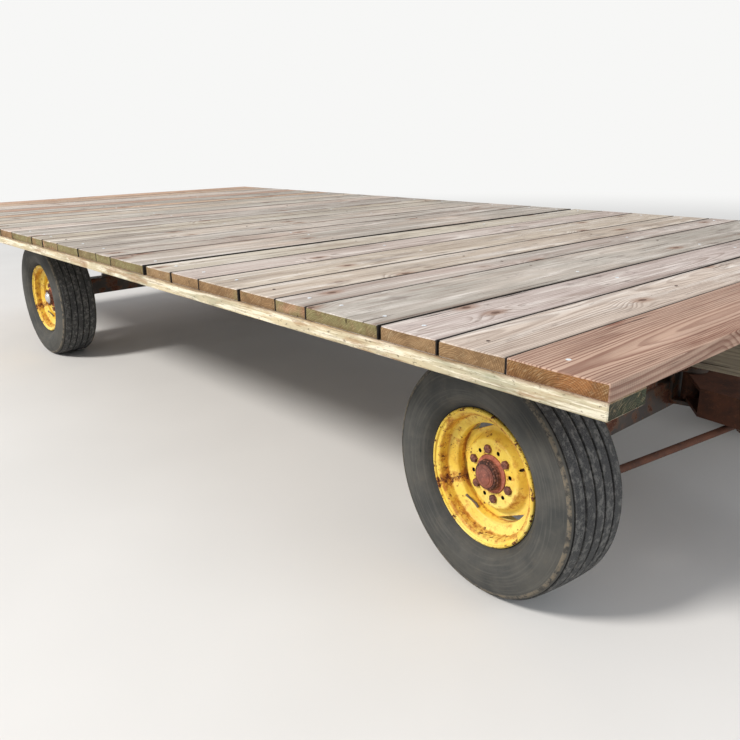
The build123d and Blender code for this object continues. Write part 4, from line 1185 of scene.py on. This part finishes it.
def fittings():
    """Every body's welds in one piece, and its nuts, bolts and pins in another."""
    spots = {joint["child"]: Vector(joint["pos_m"]) for joint in frame["joints"]}
    across = next(joint["axis"] for joint in frame["joints"] if joint["child"] == "tongue")
    parked = atan2(across[0], -across[1])
    pivot, hinge = spots["steering_head"], spots["tongue"]

    def fit(body, place, *fills):
        welds, metal = Shape(), Shape()
        for fill in fills:
            fill(welds, metal)
        for kind, shape, finish, slot in (
            ("welds", welds, gear_rust, "rusty_steel"),
            ("metal", metal, pin_steel, "bare_steel"),
        ):
            name = f"{body}_{kind}"
            if shape.points:
                piece(name, Shape().add(shape, place).mesh(name, [finish]), body, slot)

    kingpin = spots["knuckle_left"]
    fit("root", Matrix.Identity(4), axle_fittings, partial(front_fittings, pivot, kingpin), rear_fittings)
    fit("steering_head", at(pivot.x, pivot.y, 0.0, parked), head_fittings)
    fit("tongue", at(*hinge, parked) @ at(0, 0, 0, TONGUE_DROP, "Y"), tongue_fittings)
    for side, body in ((1, "knuckle_left"), (-1, "knuckle_right")):
        fit(body, at(spots[body].x, spots[body].y, 0.0, parked), partial(knuckle_fittings, side))


# Camera, light and floor

BACKDROP = (0.93, 0.93, 0.92, 1.0)
FLOOR_REACH, FADE_START, FADE_END = 60.0, 5.0, 15.0
EYE_AHEAD, EYE_OUT, EYE_HEIGHT = 0.6454, 1.1530, 1.3104
YAW, DOWN, ROLL = -0.844154, 0.308551, -0.016972
FOCAL_PIXELS, FRAME_PIXELS, SENSOR = 732.57, 740, 36.0


def camera():
    """The photographer's place: ahead of the deck's front, out from its right edge and a little rolled."""
    ahead = Vector((sin(YAW) * cos(DOWN), cos(YAW) * cos(DOWN), -sin(DOWN)))
    right = Vector((cos(YAW), -sin(YAW), 0.0))
    up = right.cross(ahead)
    right, up = right * cos(ROLL) + up * sin(ROLL), up * cos(ROLL) - right * sin(ROLL)
    eye = placed("camera", bpy.data.cameras.new("camera"))
    eye.data.sensor_width = SENSOR
    eye.data.lens = FOCAL_PIXELS / FRAME_PIXELS * SENSOR
    eye.data.clip_start, eye.data.clip_end = 0.02, 200.0
    deck_front, deck_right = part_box("deck_planks_fresh")[1].x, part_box("edge_rail_right")[0].y
    place = Matrix.Translation((deck_front + EYE_AHEAD, deck_right - EYE_OUT, EYE_HEIGHT))
    eye.matrix_world = place @ Matrix((right, up, -ahead)).transposed().to_4x4()
    bpy.context.scene.camera = eye


def area_light(name, place, target, size, power, colour):
    lamp = placed(name, bpy.data.lights.new(name, "AREA"))
    lamp.data.shape = "DISK"
    lamp.data.size = size
    lamp.data.energy = power
    lamp.data.color = colour
    aim = (Vector(target) - Vector(place)).to_track_quat("-Z", "Y")
    lamp.matrix_world = Matrix.Translation(place) @ aim.to_matrix().to_4x4()


def world():
    """Soft light from all round, and a plain backdrop where it is seen, directly or in something shiny."""
    made = bpy.data.worlds.new("studio")
    bpy.context.scene.world = made
    made.use_nodes = True
    tree = made.node_tree
    tree.nodes.clear()
    nodes = Nodes(tree)
    kinds = ("Is Camera Ray", "Is Transmission Ray", "Is Glossy Ray")
    direct, through, mirrored = (nodes.node("ShaderNodeLightPath", {}, {}, kind) for kind in kinds)
    seen = direct.most(through).most(mirrored)
    glow = nodes.node("ShaderNodeBackground", {}, {"Color": (0.92, 0.95, 1.0, 1.0), "Strength": 0.55})
    plain = nodes.node("ShaderNodeBackground", {}, {"Color": BACKDROP})
    mixed = nodes.node("ShaderNodeMixShader", {}, {0: seen, 1: glow, 2: plain})
    tree.links.new(mixed.socket, tree.nodes.new("ShaderNodeOutputWorld").inputs[0])


def floor():
    """A pale floor that fades into the background with distance."""
    finish = Finish("floor", Roughness=0.95, Specular_IOR_Level=0.05)
    place = finish.place()
    cloud = place.noise(0.6).step(0.3, 0.7)
    shades = {0: cloud, 6: (0.70, 0.69, 0.67, 1.0), 7: (0.74, 0.73, 0.71, 1.0)}
    finish.show(Base_Color=finish.node("ShaderNodeMix", {"data_type": "RGBA"}, shades, 2))
    x, y, _ = place.split()
    away = (x * x + y * y).root().step(FADE_START, FADE_END)
    near = Value(finish, finish.shader.outputs[0])
    far = finish.node("ShaderNodeEmission", {}, {"Color": BACKDROP})
    mixed = finish.node("ShaderNodeMixShader", {}, {0: away, 1: near, 2: far})
    finish.tree.links.new(mixed.socket, finish.tree.nodes["Material Output"].inputs[0])
    shape = Shape()
    corners = ((-1, -1), (1, -1), (1, 1), (-1, 1))
    shape.face([shape.point((x * FLOOR_REACH, y * FLOOR_REACH, 0.0)) for x, y in corners])
    placed("floor", shape.mesh("floor", [finish.material]))


def studio():
    """A pale room: soft key from the wagon's right, a weak fill from ahead."""
    world()
    floor()
    area_light("key", (-3.0, -13.5, 11.5), (0.0, -0.2, 0.5), 3.6, 2950, (1.0, 0.965, 0.925))
    area_light("fill", (7.5, 1.0, 3.5), (1.0, 0.0, 0.6), 4.0, 130, (0.92, 0.96, 1.0))
    bpy.context.scene.view_settings.view_transform = "Standard"


planks = deck_planks()
deck_timbers()
deck_fasteners(planks)
wheels()
running_gear()
fittings()
camera()
studio()
